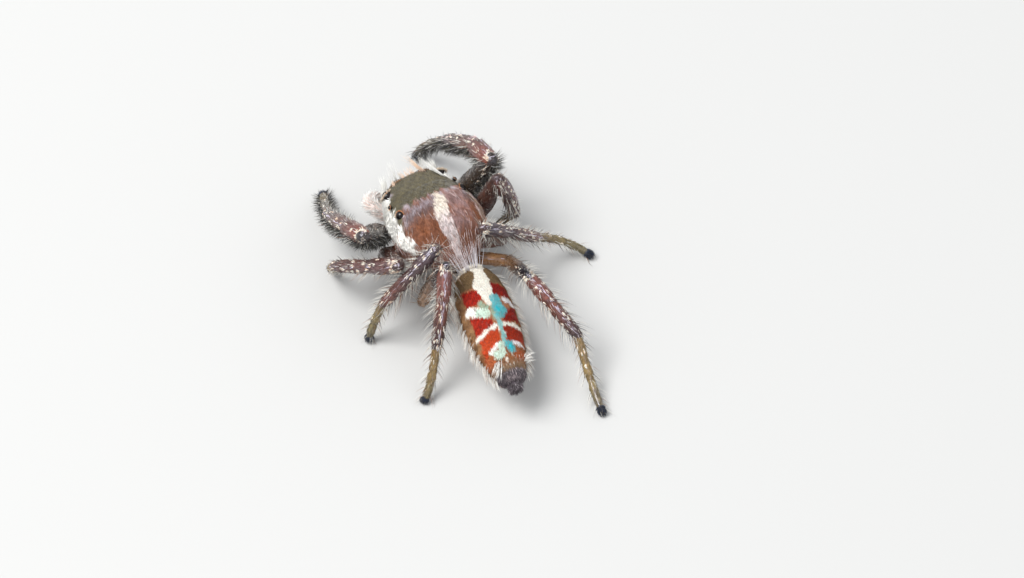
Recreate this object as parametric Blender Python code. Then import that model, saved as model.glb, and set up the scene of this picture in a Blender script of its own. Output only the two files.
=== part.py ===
"""A male Thyene benjamini, a jumping spider, standing still at its real size.

Shapes are made in millimetres and brought to metres at the end. The head faces -Y, the spider's
left is +X and up is +Z. Places are taken from the pedicel, heights from the floor."""

import itertools
import math
import random

import bmesh
import bpy
import numpy as np
from mathutils import Matrix, Vector

METRES = 0.001
GAP = 0.06
FLOOR = 0.0
MODEL = "thyene_benjamini"

# Rows of the carapace, front to back: place along Y, half width, height of the top.
CARAPACE_ROWS = (
    (-2.78, 0.84, 2.10),
    (-2.30, 0.98, 2.26),
    (-1.65, 1.11, 2.40),
    (-1.10, 1.20, 2.34),
    (-0.65, 1.11, 2.10),
    (-0.30, 0.88, 1.78),
    (0.00, 0.62, 1.50),
)
CARAPACE_REAR = -0.04
CARAPACE_BASE = 1.26
CARAPACE_BRIM = 0.10
CARAPACE_SQUARE = 2.8
FACE_BLUNT = 0.22
REAR_BLUNT = 0.50

STERNUM_HALF_WIDTH = 0.42
STERNUM_FRONT, STERNUM_REAR = -2.38, -0.18
STERNUM_LOW, STERNUM_TOP = 0.84, 1.20

# Eyes of the left side: centre and radius.
EYES = {
    "eye_front_middle": ((0.32, -2.62, 1.78), 0.25),
    "eye_front_side": ((0.74, -2.48, 1.90), 0.15),
    "eye_rear_middle": ((0.91, -2.05, 2.04), 0.06),
    "eye_rear_side": ((0.84, -1.62, 2.15), 0.13),
}
EYE_GAP = 0.04

CHELICERA_ROOT, CHELICERA_TIP = (0.25, -2.46, 1.30), (0.22, -2.78, 0.74)
CHELICERA_RADII = (0.21, 0.22, 0.15)

PEDICEL_FRONT, PEDICEL_REAR = 0.02, 0.21
PEDICEL_RADIUS = 0.15
PEDICEL_HEIGHT = 1.45

ABDOMEN_FRONT = Vector((-0.04, 0.27, 1.45))
ABDOMEN_TIP = Vector((0.58, 3.43, 0.98))
ABDOMEN_HALF_WIDTH = 0.69
ABDOMEN_RISE, ABDOMEN_SAG = 0.62, 0.54
ABDOMEN_BLUNT, ABDOMEN_SHOULDER = 0.64, 0.12

SPINNERET_LENGTH, SPINNERET_RADIUS = 0.12, 0.065
SPINNERET_BASE = 0.17

# Coxae of the left side: root beside the sternum, and outer end of the trochanter.
COXAE = {
    1: ((0.50, -1.88, 0.98), (1.12, -2.25, 1.02)),
    2: ((0.52, -1.36, 0.98), (1.32, -1.55, 1.02)),
    3: ((0.52, -0.90, 0.98), (1.36, -0.56, 0.96)),
    4: ((0.44, -0.46, 0.98), (1.22, 0.10, 0.94)),
}
# The pose of each leg: knee, outer end of the tibia, heel and tip of the tarsus.
POSE = {
    (1, "l"): ((2.00, -1.39, 2.30), (2.02, -3.22, 1.20), (1.65, -4.10, 0.50), (1.43, -4.62, 0.10)),
    (2, "l"): ((1.65, -0.37, 2.05), (2.60, -1.82, 1.05), (2.50, -2.19, 0.50), (2.38, -2.48, 0.10)),
    (3, "l"): ((0.77, -0.03, 2.50), (2.20, -0.09, 1.24), (2.46, -0.12, 0.62), (2.64, -0.08, 0.10)),
    (4, "l"): ((0.84, 0.58, 2.50), (1.69, 1.62, 1.10), (2.11, 2.05, 0.45), (2.38, 2.22, 0.10)),
    (1, "r"): ((-1.78, -1.79, 2.50), (-1.58, -3.60, 1.50), (-1.40, -4.28, 0.70), (-1.23, -4.56, 0.10)),
    (2, "r"): ((-1.64, -1.16, 2.50), (-2.08, -1.10, 1.00), (-2.00, -1.39, 0.50), (-1.89, -1.59, 0.10)),
    (3, "r"): ((-0.58, 0.00, 2.52), (-2.14, -0.08, 1.10), (-2.87, -0.06, 0.50), (-3.40, 0.39, 0.10)),
    (4, "r"): ((-1.02, 1.43, 1.90), (-1.49, 2.97, 1.00), (-1.33, 3.88, 0.40), (-1.17, 4.74, 0.10)),
}
PATELLA_SHARE = 0.42
# How far the joint of patella and tibia stands above the straight line from knee to ankle.
PATELLA_RISE = {
    (1, "l"): 0.10, (2, "l"): 0.04, (3, "l"): 0.04, (4, "l"): 0.08,
    (1, "r"): 0.20, (2, "r"): 0.06, (3, "r"): 0.04, (4, "r"): 0.10,
}
# Radii of each leg's segments from root to tip.
LEG_RADII = {
    1: {"coxa": (0.20, 0.21, 0.20), "femur": (0.22, 0.33, 0.27), "patella": (0.25, 0.26, 0.25),
        "tibia": (0.25, 0.25, 0.19), "foot": (0.18, 0.15, 0.14, 0.13, 0.16)},
    2: {"coxa": (0.19, 0.20, 0.19), "femur": (0.20, 0.27, 0.22), "patella": (0.22, 0.22, 0.21),
        "tibia": (0.21, 0.21, 0.17), "foot": (0.16, 0.14, 0.13, 0.12, 0.15)},
    3: {"coxa": (0.18, 0.19, 0.18), "femur": (0.19, 0.24, 0.20), "patella": (0.20, 0.20, 0.19),
        "tibia": (0.19, 0.19, 0.16), "foot": (0.15, 0.13, 0.12, 0.12, 0.15)},
    4: {"coxa": (0.18, 0.19, 0.18), "femur": (0.19, 0.24, 0.20), "patella": (0.20, 0.20, 0.19),
        "tibia": (0.19, 0.19, 0.16), "foot": (0.15, 0.13, 0.12, 0.12, 0.15)},
}
SEGMENTS = ("coxa", "femur", "patella", "tibia", "foot")
FEMUR_NARROW = 0.8

# Palps: root, knee, root of the tip and end of the tip.
PALPS = {
    "l": ((0.62, -2.50, 0.98), (0.92, -2.98, 1.12), (0.68, -3.32, 0.88), (0.50, -3.42, 0.50)),
    "r": ((-0.62, -2.50, 0.98), (-0.72, -3.02, 1.16), (-0.58, -3.34, 0.90), (-0.46, -3.42, 0.50)),
}
PALP_RADII = (0.13, 0.15, 0.15)
PALP_TIP_RADII = (0.14, 0.18, 0.10)

# Locks of hair: how far their roots go into the body, their width and how flat they are.
LOCK_SINK, LOCK_WIDTH, LOCK_FLATNESS = 0.10, 0.18, 0.40
LOCK_OUT, LOCK_LEAN, LOCK_BOW = 0.72, 0.80, 0.10
# The tuft on a knee: first and last place along the patella, how many at each angle, and its lean.
KNEE_ROW, KNEE_LEAN = (0.02, 0.14, 1), -0.5
# Rows of locks on a limb: angles from its back, outwards above zero, then the first and last place
# along the limb, how many, their length, and their lean to the far end where it isn't LOCK_LEAN.
LEG_LOCKS = {
    1: {
        "femur": (((110,), 0.15, 0.75, 3, 0.32),),
        "patella": (((90, -90), 0.3, 0.8, 2, 0.34), ((0,), *KNEE_ROW, 0.22, KNEE_LEAN)),
        "tibia": (((130, -130), 0.3, 0.95, 4, 0.42),),
    },
    2: {
        "patella": (((40,), 0.3, 0.8, 2, 0.28),),
        "tibia": (((60, -60), 0.2, 0.8, 2, 0.30),),
    },
    3: {
        "patella": (((50, -50), 0.4, 0.9, 2, 0.32), ((0, 50, -50), *KNEE_ROW, 0.28, KNEE_LEAN)),
        "tibia": (((50, -50), 0.2, 0.9, 3, 0.38),),
    },
    4: {
        "patella": (((75, -75), 0.3, 0.9, 2, 0.34), ((0, 50, -50), *KNEE_ROW, 0.28, KNEE_LEAN)),
        "tibia": (((75, -75), 0.15, 0.85, 4, 0.42),),
    },
}
PALP_LOCKS = (((75, 20), 0.45, 0.85, 2, 0.20),)
# Tufts on the body: place along it, angle from the left side over the top, reach out and back.
BROW_TUFTS = ((0.26, 70, 0.34, -0.42), (0.27, 80, 0.30, -0.50), (0.30, 60, 0.34, -0.28))
NAPE_TUFTS = tuple((0.77, turn, 0.24, 0.62) for turn in (62, 72, 82, 92, 101))
ABDOMEN_TUFTS = (
    *((0.20, turn, 0.24, 0.10) for turn in (50, 77, 103, 130)),
    *((along, turn, 0.22, 0.26) for turn in (2, 178) for along in (0.30, 0.42, 0.54, 0.66, 0.78)),
    *((0.87, turn, 0.12, 0.30) for turn in (20, 65, 115, 160)),
)

# Finishes: base colour and roughness.
FINISHES = {
    "carapace": ((0.18, 0.09, 0.045), 0.55),
    "underside": ((0.10, 0.06, 0.035), 0.60),
    "abdomen": ((0.42, 0.12, 0.06), 0.60),
    "spinnerets": ((0.07, 0.05, 0.06), 0.60),
    "eye": ((0.01, 0.01, 0.012), 0.08),
    "jaw": ((0.12, 0.05, 0.03), 0.35),
    "palp": ((0.70, 0.62, 0.52), 0.70),
    "leg": ((0.12, 0.05, 0.04), 0.45),
    "foot": ((0.22, 0.11, 0.05), 0.50),
}


def smooth(rows, at):
    """The values of the rows at one place, on a smooth curve through them."""
    rows = np.array(rows)
    places, values = rows[:, 0], rows[:, 1:]
    slopes = np.gradient(values, places, axis=0)
    after = int(np.clip(np.searchsorted(places, at), 1, len(places) - 1))
    low, high = places[after - 1], places[after]
    step = high - low
    t = float(np.clip((at - low) / step, 0, 1))
    return (
        values[after - 1] * (1 + 2 * t) * (1 - t) ** 2
        + slopes[after - 1] * step * t * (1 - t) ** 2
        + values[after] * t * t * (3 - 2 * t)
        + slopes[after] * step * t * t * (t - 1)
    )


def evenly(values, t):
    """A value at t, from 0 to 1, on a smooth curve through evenly spaced values."""
    rows = [(i / (len(values) - 1), value) for i, value in enumerate(values)]
    return float(smooth(rows, t)[0])


def bent(start, end, bow=(0, 0, 0)):
    """A curve from start to end whose middle is moved off the straight line by bow."""
    start, end = Vector(start), Vector(end)
    control = (start + end) / 2 + 2 * Vector(bow)
    return lambda t: start * (1 - t) ** 2 + control * 2 * t * (1 - t) + end * t * t


def through(start, middle, end):
    """A curve from start to end that passes through middle."""
    middle = Vector(middle)
    return bent(start, end, middle - (Vector(start) + Vector(end)) / 2)


def heading(path, t):
    step = 0.01
    return (path(min(1, t + step)) - path(max(0, t - step))).normalized()


def upright(ahead, up):
    """The part of up that is square to ahead."""
    return (up - ahead * up.dot(ahead)).normalized()


def rounded(around, rings, place):
    """A closed form from a UV sphere: place(along, turn) moves each vertex, where along runs from
    0 at one pole to 1 at the other and turn is the angle round the line between them."""
    form = bmesh.new()
    bmesh.ops.create_uvsphere(form, u_segments=around, v_segments=rings, radius=1)
    for vert in form.verts:
        along = math.acos(max(-1, min(1, -vert.co.z))) / math.pi
        vert.co = place(along, math.atan2(vert.co.y, vert.co.x))
    bmesh.ops.triangulate(form, faces=form.faces)
    bmesh.ops.recalc_face_normals(form, faces=form.faces)
    return form


def ball(centre, radius, around, rings):
    def place(along, turn):
        out = radius * math.sin(math.pi * along)
        height = -radius * math.cos(math.pi * along)
        return Vector(centre) + Vector((out * math.cos(turn), height, out * math.sin(turn)))

    return rounded(around, rings, place)


def limb(path, radii, up, narrow=1.0, around=8, rings=8):
    """A limb along a path, with a half ball centred on each end of it."""
    cap = 0.25

    def place(along, turn):
        t = min(1, max(0, (along - cap) / (1 - 2 * cap)))
        radius = evenly(radii, t)
        ahead = heading(path, t)
        centre = path(t)
        if along < cap or along > 1 - cap:
            bend = (1 - min(along, 1 - along) / cap) * math.pi / 2
            centre = centre + ahead * radius * math.sin(bend) * (1 if along > 0.5 else -1)
            radius *= math.cos(bend)
        rise = upright(ahead, up)
        side = ahead.cross(rise)
        return centre + side * radius * narrow * math.cos(turn) + rise * radius * math.sin(turn)

    return rounded(around, rings, place)


def cut(form, point, normal):
    """Takes away what lies past a plane, on its normal's side, and closes the cut."""
    geometry = form.verts[:] + form.edges[:] + form.faces[:]
    bmesh.ops.bisect_plane(
        form, geom=geometry, dist=1e-4, plane_co=point, plane_no=normal, clear_outer=True
    )
    rim = [edge for edge in form.edges if edge.is_boundary]
    bmesh.ops.holes_fill(form, edges=rim, sides=0)
    bmesh.ops.triangulate(form, faces=form.faces)
    bmesh.ops.recalc_face_normals(form, faces=form.faces)


def lock(root, tip, bow, face):
    """A flat tapering lock of hair, bowed on its way from root to tip, with its flat sides to face."""
    path = bent(root, tip, bow)

    def place(along, turn):
        ahead = heading(path, along)
        thin = upright(ahead, face)
        wide = ahead.cross(thin)
        size = LOCK_WIDTH / 2 * min(1, 4 * along) * (1 - along) ** 0.6
        return path(along) + (wide * math.cos(turn) + thin * LOCK_FLATNESS * math.sin(turn)) * size

    return rounded(3, 4, place)


def fringe(path, radii, up, rows, mirror):
    """The rows of locks on a limb, each lock leaning along the limb."""
    locks = []
    for angles, first, last, count, length, *own in rows:
        lean = own[0] if own else LOCK_LEAN
        for angle, i in itertools.product(angles, range(count)):
            t = first + (last - first) * (i + random.uniform(0.3, 0.7)) / count
            turn = -mirror * math.radians(angle + random.uniform(-8, 8))
            ahead = heading(path, t)
            rise = upright(ahead, up)
            out = rise * math.cos(turn) + ahead.cross(rise) * math.sin(turn)
            skin = path(t) + out * evenly(radii, t)
            reach = length * random.uniform(0.85, 1.15)
            tip = skin + (out * LOCK_OUT + ahead * lean) * reach
            locks.append(lock(skin - out * LOCK_SINK, tip, out * LOCK_BOW * reach, ahead.cross(out)))
    return locks


def tufts(surface, rows, sides=(1,)):
    """Locks rooted in a surface, each reaching out from it and back along it."""
    locks = []
    for side in sides:
        for along, angle, reach_out, reach_back in rows:
            turn = math.radians(angle if side > 0 else 180 - angle)
            middle = (surface(along, 0) + surface(along, math.pi)) / 2
            behind = (surface(along + 0.02, 0) + surface(along + 0.02, math.pi)) / 2
            skin = surface(along, turn)
            out, back = (skin - middle).normalized(), (behind - middle).normalized()
            reach = out * reach_out + back * reach_back
            tip = skin + reach * random.uniform(0.88, 1.12)
            bow = out * LOCK_BOW * reach.length
            locks.append(lock(skin - out * LOCK_SINK, tip, bow, back.cross(out)))
    return locks


def object_of(name, form, collection):
    mesh = bpy.data.meshes.new(name)
    form.to_mesh(mesh)
    form.free()
    obj = bpy.data.objects.new(name, mesh)
    collection.objects.link(obj)
    return obj


def keep_largest(form):
    """Drops every closed surface of the form but the one with the largest area."""
    left, surfaces = set(form.verts), []
    while left:
        found, edge = set(), [next(iter(left))]
        while edge:
            vert = edge.pop()
            if vert in found:
                continue
            found.add(vert)
            edge.extend(side.other_vert(vert) for side in vert.link_edges)
        left -= found
        area = sum(face.calc_area() for vert in found for face in vert.link_faces)
        surfaces.append((area, found))
    largest = max(surfaces, key=lambda surface: surface[0])[1]
    scraps = [vert for vert in form.verts if vert not in largest]
    bmesh.ops.delete(form, geom=scraps, context="VERTS")


def combined(form, pieces, operation):
    """The form with all the pieces joined to it, or cut from it, by one Boolean."""
    if not pieces:
        return form
    scene = bpy.context.scene.collection
    folder = bpy.data.collections.new("pieces")
    scene.children.link(folder)
    body = object_of("body", form, scene)
    for piece in pieces:
        object_of("piece", piece, folder)
    step = body.modifiers.new("pieces", "BOOLEAN")
    step.operation = operation
    step.operand_type = "COLLECTION"
    step.collection = folder
    graph = bpy.context.evaluated_depsgraph_get()
    made = bpy.data.meshes.new_from_object(body.evaluated_get(graph))
    result = bmesh.new()
    result.from_mesh(made)
    for obj in [body, *folder.objects]:
        bpy.data.objects.remove(obj, do_unlink=True)
    bpy.data.collections.remove(folder)
    keep_largest(result)
    return result


def finish_of(name, finish):
    colour, roughness = FINISHES[finish]
    material = bpy.data.materials.new(name)
    material.use_nodes = True
    shader = material.node_tree.nodes["Principled BSDF"]
    shader.inputs["Base Color"].default_value = (*colour, 1)
    shader.inputs["Roughness"].default_value = roughness
    shader.inputs["Metallic"].default_value = 0
    return material


def carapace_point(along, turn):
    """A point of the carapace: along runs from face to rear, turn from the left side over the top."""
    front, rear = CARAPACE_ROWS[0][0], CARAPACE_REAR
    y = front + (rear - front) * (1 - math.cos(math.pi * along)) / 2
    half_width, top = smooth(CARAPACE_ROWS, y)
    blunt = math.sin(math.pi * along) ** (FACE_BLUNT if along < 0.5 else REAR_BLUNT)
    across = abs(math.cos(turn)) ** (2 / CARAPACE_SQUARE) * math.copysign(1, math.cos(turn))
    up = abs(math.sin(turn)) ** (2 / CARAPACE_SQUARE) * math.copysign(1, math.sin(turn))
    margin = CARAPACE_BASE + CARAPACE_BRIM
    pole = (CARAPACE_BASE + top) / 2
    height = margin + (top - margin if up > 0 else CARAPACE_BRIM) * up
    if up < 0:
        return Vector((half_width * across * blunt, y, margin + CARAPACE_BRIM * up * min(1, 3 * blunt)))
    return Vector((half_width * across * blunt, y, pole + (height - pole) * blunt))


def carapace():
    form = rounded(24, 14, carapace_point)
    sockets = []
    for (x, y, z), radius in EYES.values():
        sockets += [ball((side * x, y, z), radius + EYE_GAP, 8, 6) for side in (1, -1)]
    bare = combined(form, sockets, "DIFFERENCE")
    hair = tufts(carapace_point, BROW_TUFTS, (1, -1)) + tufts(carapace_point, NAPE_TUFTS)
    return combined(bare, hair, "UNION")


def sternum_point(along, turn):
    y = STERNUM_FRONT + (STERNUM_REAR - STERNUM_FRONT) * (1 - math.cos(math.pi * along)) / 2
    swell = math.sin(math.pi * along) ** 0.45
    middle = (STERNUM_LOW + STERNUM_TOP) / 2
    half_height = (STERNUM_TOP - STERNUM_LOW) / 2
    across = abs(math.cos(turn)) ** 0.6 * math.copysign(1, math.cos(turn))
    up = abs(math.sin(turn)) ** 0.5 * math.copysign(1, math.sin(turn))
    return Vector((STERNUM_HALF_WIDTH * across * swell, y, middle + half_height * up * swell))


def sternum():
    return rounded(16, 10, sternum_point)


def chelicera(side):
    root, tip = (Vector((side * p[0], *p[1:])) for p in (CHELICERA_ROOT, CHELICERA_TIP))
    form = limb(bent(root, tip, (0, -0.04, 0)), CHELICERA_RADII, Vector((0, -1, 0)))
    cut(form, (0, 0, CARAPACE_BASE - GAP), (0, 0, 1))
    return form


def pedicel():
    ends = [Vector((0, y, PEDICEL_HEIGHT)) for y in (PEDICEL_FRONT, PEDICEL_REAR)]
    form = limb(bent(*ends), (PEDICEL_RADIUS, PEDICEL_RADIUS), Vector((0, 0, 1)))
    cut(form, ends[0], (0, -1, 0))
    cut(form, ends[1], (0, 1, 0))
    return form


def abdomen_point(along, turn):
    axis = ABDOMEN_TIP - ABDOMEN_FRONT
    share = (1 - math.cos(math.pi * along)) / 2
    swell = math.sin(math.pi * along) ** ABDOMEN_BLUNT
    swell *= 1 + ABDOMEN_SHOULDER * math.cos(math.pi * along)
    ahead = axis.normalized()
    rise = upright(ahead, Vector((0, 0, 1)))
    left = rise.cross(ahead) * -1
    height = (ABDOMEN_RISE if math.sin(turn) > 0 else ABDOMEN_SAG) * math.sin(turn)
    point = ABDOMEN_FRONT + axis * share
    return point + left * ABDOMEN_HALF_WIDTH * math.cos(turn) * swell + rise * height * swell


def abdomen():
    return combined(rounded(20, 14, abdomen_point), tufts(abdomen_point, ABDOMEN_TUFTS), "UNION")


def spinnerets():
    ahead = (ABDOMEN_TIP - ABDOMEN_FRONT).normalized()
    rise = upright(ahead, Vector((0, 0, 1)))
    left = ahead.cross(rise)
    root = ABDOMEN_TIP + ahead * GAP
    form = limb(bent(root, root + ahead * 0.04), (SPINNERET_BASE, SPINNERET_BASE), rise)
    cut(form, root, -ahead)
    tubes = []
    for i in range(6):
        turn = math.radians(60 * i + 30)
        out = left * math.cos(turn) + rise * math.sin(turn)
        start = root + ahead * 0.06 + out * 0.07
        end = start + ahead * SPINNERET_LENGTH + out * 0.03
        tubes.append(limb(bent(start, end), (SPINNERET_RADIUS, SPINNERET_RADIUS * 0.7), rise, around=6))
    return combined(form, tubes, "UNION")


def palp(side):
    """The palp's arm and its tip, which carries the boxing-glove end of a male."""
    root, knee, wrist, end = (Vector(point) for point in PALPS[side])
    up = Vector((0, 0, 1))
    arm = limb(through(root, knee, wrist), PALP_RADII, up)
    tip = limb(bent(wrist, end), PALP_TIP_RADII, Vector((0, -1, 0)))
    seam = ((wrist - knee).normalized() + (end - wrist).normalized()).normalized()
    cut(arm, root, -(knee - root))
    cut(arm, wrist - seam * GAP / 2, seam)
    cut(tip, wrist + seam * GAP / 2, -seam)
    hair = fringe(through(root, knee, wrist), PALP_RADII, up, PALP_LOCKS, 1 if side == "l" else -1)
    return combined(arm, hair, "UNION"), tip


def leg(number, side):
    """The five segments of one leg, parted at the joints by planes that halve each bend."""
    mirror = 1 if side == "l" else -1
    coxa_root, coxa_end = (Vector((mirror * p[0], *p[1:])) for p in COXAE[number])
    knee, ankle, heel, tip = (Vector(point) for point in POSE[number, side])
    plane = (knee - coxa_end).cross(ankle - knee).normalized()
    rise = (ankle - knee).cross(plane).normalized() * PATELLA_RISE[number, side]
    joints = [coxa_root, coxa_end, knee, knee.lerp(ankle, PATELLA_SHARE) + rise, ankle, tip]
    paths = [bent(a, b) for a, b in zip(joints, joints[1:])]
    paths[-1] = through(ankle, heel, tip)
    backs = [heading(path, 0.5).cross(plane) for path in paths]
    forms = {}
    for segment, path, up in zip(SEGMENTS, paths, backs):
        narrow = FEMUR_NARROW if segment == "femur" else 1.0
        forms[segment] = limb(path, LEG_RADII[number][segment], up, narrow)
    cut(forms["coxa"], coxa_root, -heading(paths[0], 0))
    for i, joint in enumerate(joints[1:-1]):
        seam = (heading(paths[i], 1) + heading(paths[i + 1], 0)).normalized()
        cut(forms[SEGMENTS[i]], joint - seam * GAP / 2, seam)
        cut(forms[SEGMENTS[i + 1]], joint + seam * GAP / 2, -seam)
    cut(forms["foot"], (0, 0, FLOOR), (0, 0, -1))
    for segment, path, up in zip(SEGMENTS, paths, backs):
        rows = LEG_LOCKS[number].get(segment, ())
        hair = fringe(path, LEG_RADII[number][segment], up, rows, mirror)
        forms[segment] = combined(forms[segment], hair, "UNION")
    return forms


def all_forms():
    """Every sub-part of the model as (name, form, finish)."""
    yield "carapace", carapace(), "carapace"
    yield "sternum", sternum(), "underside"
    yield "pedicel", pedicel(), "underside"
    yield "abdomen", abdomen(), "abdomen"
    yield "spinnerets", spinnerets(), "spinnerets"
    for side, mirror in (("l", 1), ("r", -1)):
        yield f"chelicera_{side}", chelicera(mirror), "jaw"
        for eye, ((x, y, z), radius) in EYES.items():
            yield f"{eye}_{side}", ball((mirror * x, y, z), radius, 8, 6), "eye"
        arm, tip = palp(side)
        yield f"palp_{side}_arm", arm, "palp"
        yield f"palp_{side}_tip", tip, "palp"
        for number in COXAE:
            for segment, form in leg(number, side).items():
                yield f"leg_{number}_{side}_{segment}", form, "foot" if segment == "foot" else "leg"


def stand_on_floor(parts):
    """Brings the parts to metres, with the middle of the whole at the origin on the floor."""
    corners = np.array([vert.co for part in parts for vert in part.data.vertices])
    low, high = corners.min(axis=0), corners.max(axis=0)
    middle = Vector(((low[0] + high[0]) / 2, (low[1] + high[1]) / 2, low[2]))
    for part in parts:
        part.data.transform(Matrix.Scale(METRES, 4) @ Matrix.Translation(-middle))


def main():
    for obj in list(bpy.data.objects):
        bpy.data.objects.remove(obj, do_unlink=True)
    random.seed(4)
    collection = bpy.data.collections.new(MODEL)
    bpy.context.scene.collection.children.link(collection)
    parts = []
    for name, form, finish in all_forms():
        part = object_of(name, form, collection)
        part.data.materials.append(finish_of(name, finish))
        parts.append(part)
    stand_on_floor(parts)
    whole = bpy.data.objects.new(MODEL, None)
    collection.objects.link(whole)
    for part in parts:
        part.parent = whole


main()
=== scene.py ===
import math
from types import SimpleNamespace

import bpy
import numpy as np
from mathutils import Matrix, Vector


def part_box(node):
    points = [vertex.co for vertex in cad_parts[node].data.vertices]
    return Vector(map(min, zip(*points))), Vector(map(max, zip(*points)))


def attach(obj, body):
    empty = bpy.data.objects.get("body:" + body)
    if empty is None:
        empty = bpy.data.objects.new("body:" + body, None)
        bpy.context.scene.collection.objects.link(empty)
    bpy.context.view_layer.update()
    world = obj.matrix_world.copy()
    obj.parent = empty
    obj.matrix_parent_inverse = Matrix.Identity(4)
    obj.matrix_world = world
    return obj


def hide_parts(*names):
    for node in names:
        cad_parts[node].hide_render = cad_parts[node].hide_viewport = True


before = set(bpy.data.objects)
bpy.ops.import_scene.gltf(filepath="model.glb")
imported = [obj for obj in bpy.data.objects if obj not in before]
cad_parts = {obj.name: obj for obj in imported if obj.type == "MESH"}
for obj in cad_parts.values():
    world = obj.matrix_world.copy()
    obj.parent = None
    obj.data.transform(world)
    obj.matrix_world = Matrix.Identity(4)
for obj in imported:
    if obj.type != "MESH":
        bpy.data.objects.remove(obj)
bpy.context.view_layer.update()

# The view. The spider stands on a pale matt board, under a broad soft lamp, and is seen from above
# and behind, over its left side. Its own places are millimetres from the pedicel, with the head to
# -Y, its left to +X, and heights from the board.
MM = 0.001
PIXELS_WIDE, PIXELS_HIGH, PIXELS_PER_MM = 1024, 578, 40.8
VIEW_TURN, VIEW_HEIGHT, VIEW_DISTANCE = math.radians(150), math.radians(52), 150.0
PEDICEL_PIXEL, PEDICEL_HEIGHT = (463.8, 263.6), 1.5
# The middle of the pedicel's solid lies this far behind the place that all sizes count from.
PEDICEL_MIDDLE = 0.115
SENSOR = 36.0
BOARD_SIZE = 0.6
BOARD_COLOUR = (0.56, 0.555, 0.54)
LAMP_DISTANCE = 0.22
ROOM_COLOUR, ROOM_STRENGTH = (0.93, 0.96, 1.0), 0.74
pedicel_low, pedicel_high = (np.array(corner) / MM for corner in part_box("pedicel"))
origin = np.array((
    (pedicel_low[0] + pedicel_high[0]) / 2,
    (pedicel_low[1] + pedicel_high[1]) / 2 - PEDICEL_MIDDLE,
    0,
))


def placed(points):
    """Millimetres from the pedicel as metres in the frame."""
    return (np.asarray(points, float) + origin) * MM


def shader_of(name):
    """A new material and its Principled shader."""
    material = bpy.data.materials.new(name)
    material.use_nodes = True
    return material, material.node_tree.nodes["Principled BSDF"]


look = Vector((
    -math.sin(VIEW_TURN) * math.cos(VIEW_HEIGHT),
    math.cos(VIEW_TURN) * math.cos(VIEW_HEIGHT),
    -math.sin(VIEW_HEIGHT),
))
right = Vector((math.cos(VIEW_TURN), math.sin(VIEW_TURN), 0))
upward = right.cross(look)
target = Vector(placed((0, 0, PEDICEL_HEIGHT)))
target += right * (PIXELS_WIDE / 2 - PEDICEL_PIXEL[0]) / PIXELS_PER_MM * MM
target -= upward * (PIXELS_HIGH / 2 - PEDICEL_PIXEL[1]) / PIXELS_PER_MM * MM
bpy.ops.object.select_all(action="DESELECT")
bpy.ops.object.camera_add()
camera = bpy.context.object
camera.name = "camera"
camera.matrix_world = Matrix((right, upward, -look)).transposed().to_4x4()
camera.location = target - look * VIEW_DISTANCE * MM
camera.data.sensor_width = SENSOR
camera.data.lens = SENSOR * VIEW_DISTANCE * PIXELS_PER_MM / PIXELS_WIDE
camera.data.clip_start, camera.data.clip_end = 0.005, 2.0
bpy.context.scene.camera = camera

bpy.ops.mesh.primitive_plane_add(size=BOARD_SIZE)
board = bpy.context.object
board.name = "board"
material, shader = shader_of("board paint")
shader.inputs["Base Color"].default_value = (*BOARD_COLOUR, 1)
shader.inputs["Roughness"].default_value = 0.9
board.data.materials.append(material)


def lamp(name, direction, size, watts, colour=(1, 1, 1)):
    """A square soft lamp that shines on the spider from a direction; its size is in metres."""
    away = Vector(direction).normalized()
    bpy.ops.object.light_add(type="AREA", location=target + away * LAMP_DISTANCE)
    light = bpy.context.object
    light.name = name
    light.rotation_euler = away.to_track_quat("Z", "Y").to_euler()
    light.data.size, light.data.energy, light.data.color = size, watts, colour


lamp("key lamp", (0.45, -0.22, 0.86), 0.13, 0.56)
lamp("rear lamp", (-0.5, 0.75, 0.5), 0.20, 0.05, (0.95, 0.97, 1.0))
world = bpy.data.worlds.new("room")
world.use_nodes = True
room = world.node_tree.nodes["Background"].inputs
room["Color"].default_value, room["Strength"].default_value = (*ROOM_COLOUR, 1), ROOM_STRENGTH
bpy.context.scene.world = world
bpy.context.scene.view_settings.view_transform = "Standard"

# The carapace. One hard shell over head and thorax, chestnut brown, with eye humps at its corners,
# a shallow dip behind the eye field and two furrows. The skin is a sphere drawn onto the shell's
# own outline, just under the coat.
draw = np.random.default_rng(11)
COAT_DEPTH = 0.03
# Rows of the shell, front to back: place along Y, half width, height of the top.
SHELL_ROWS = np.array((
    (-2.78, 0.84, 2.10),
    (-2.30, 0.98, 2.26),
    (-1.65, 1.11, 2.40),
    (-1.10, 1.20, 2.34),
    (-0.65, 1.11, 2.10),
    (-0.30, 0.88, 1.78),
    (0.00, 0.62, 1.50),
))
SHELL_FRONT, SHELL_REAR = -2.78, -0.04
SHELL_BASE, SHELL_BRIM = 1.26, 0.10
SHELL_SQUARE = 2.8
FACE_BLUNT, REAR_BLUNT = 0.22, 0.50
# Eyes of the left side: centre, radius, the way it looks, and how high its hump stands.
EYES = {
    "front_middle": ((0.32, -2.62, 1.78), 0.25, (0.05, -1.0, 0.05), 0.05),
    "front_side": ((0.74, -2.48, 1.90), 0.15, (0.35, -0.90, 0.15), 0.05),
    "rear_middle": ((0.91, -2.05, 2.04), 0.06, (0.85, -0.20, 0.45), 0.03),
    "rear_side": ((0.84, -1.62, 2.15), 0.13, (0.80, 0.25, 0.50), 0.07),
}
HUMP_WIDTH = 1.7
# The dip behind the eye field: place along Y, half length, half width and depth.
DIP_PLACE, DIP_LENGTH, DIP_WIDTH, DIP_DEPTH = -1.28, 0.20, 0.55, 0.022
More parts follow.
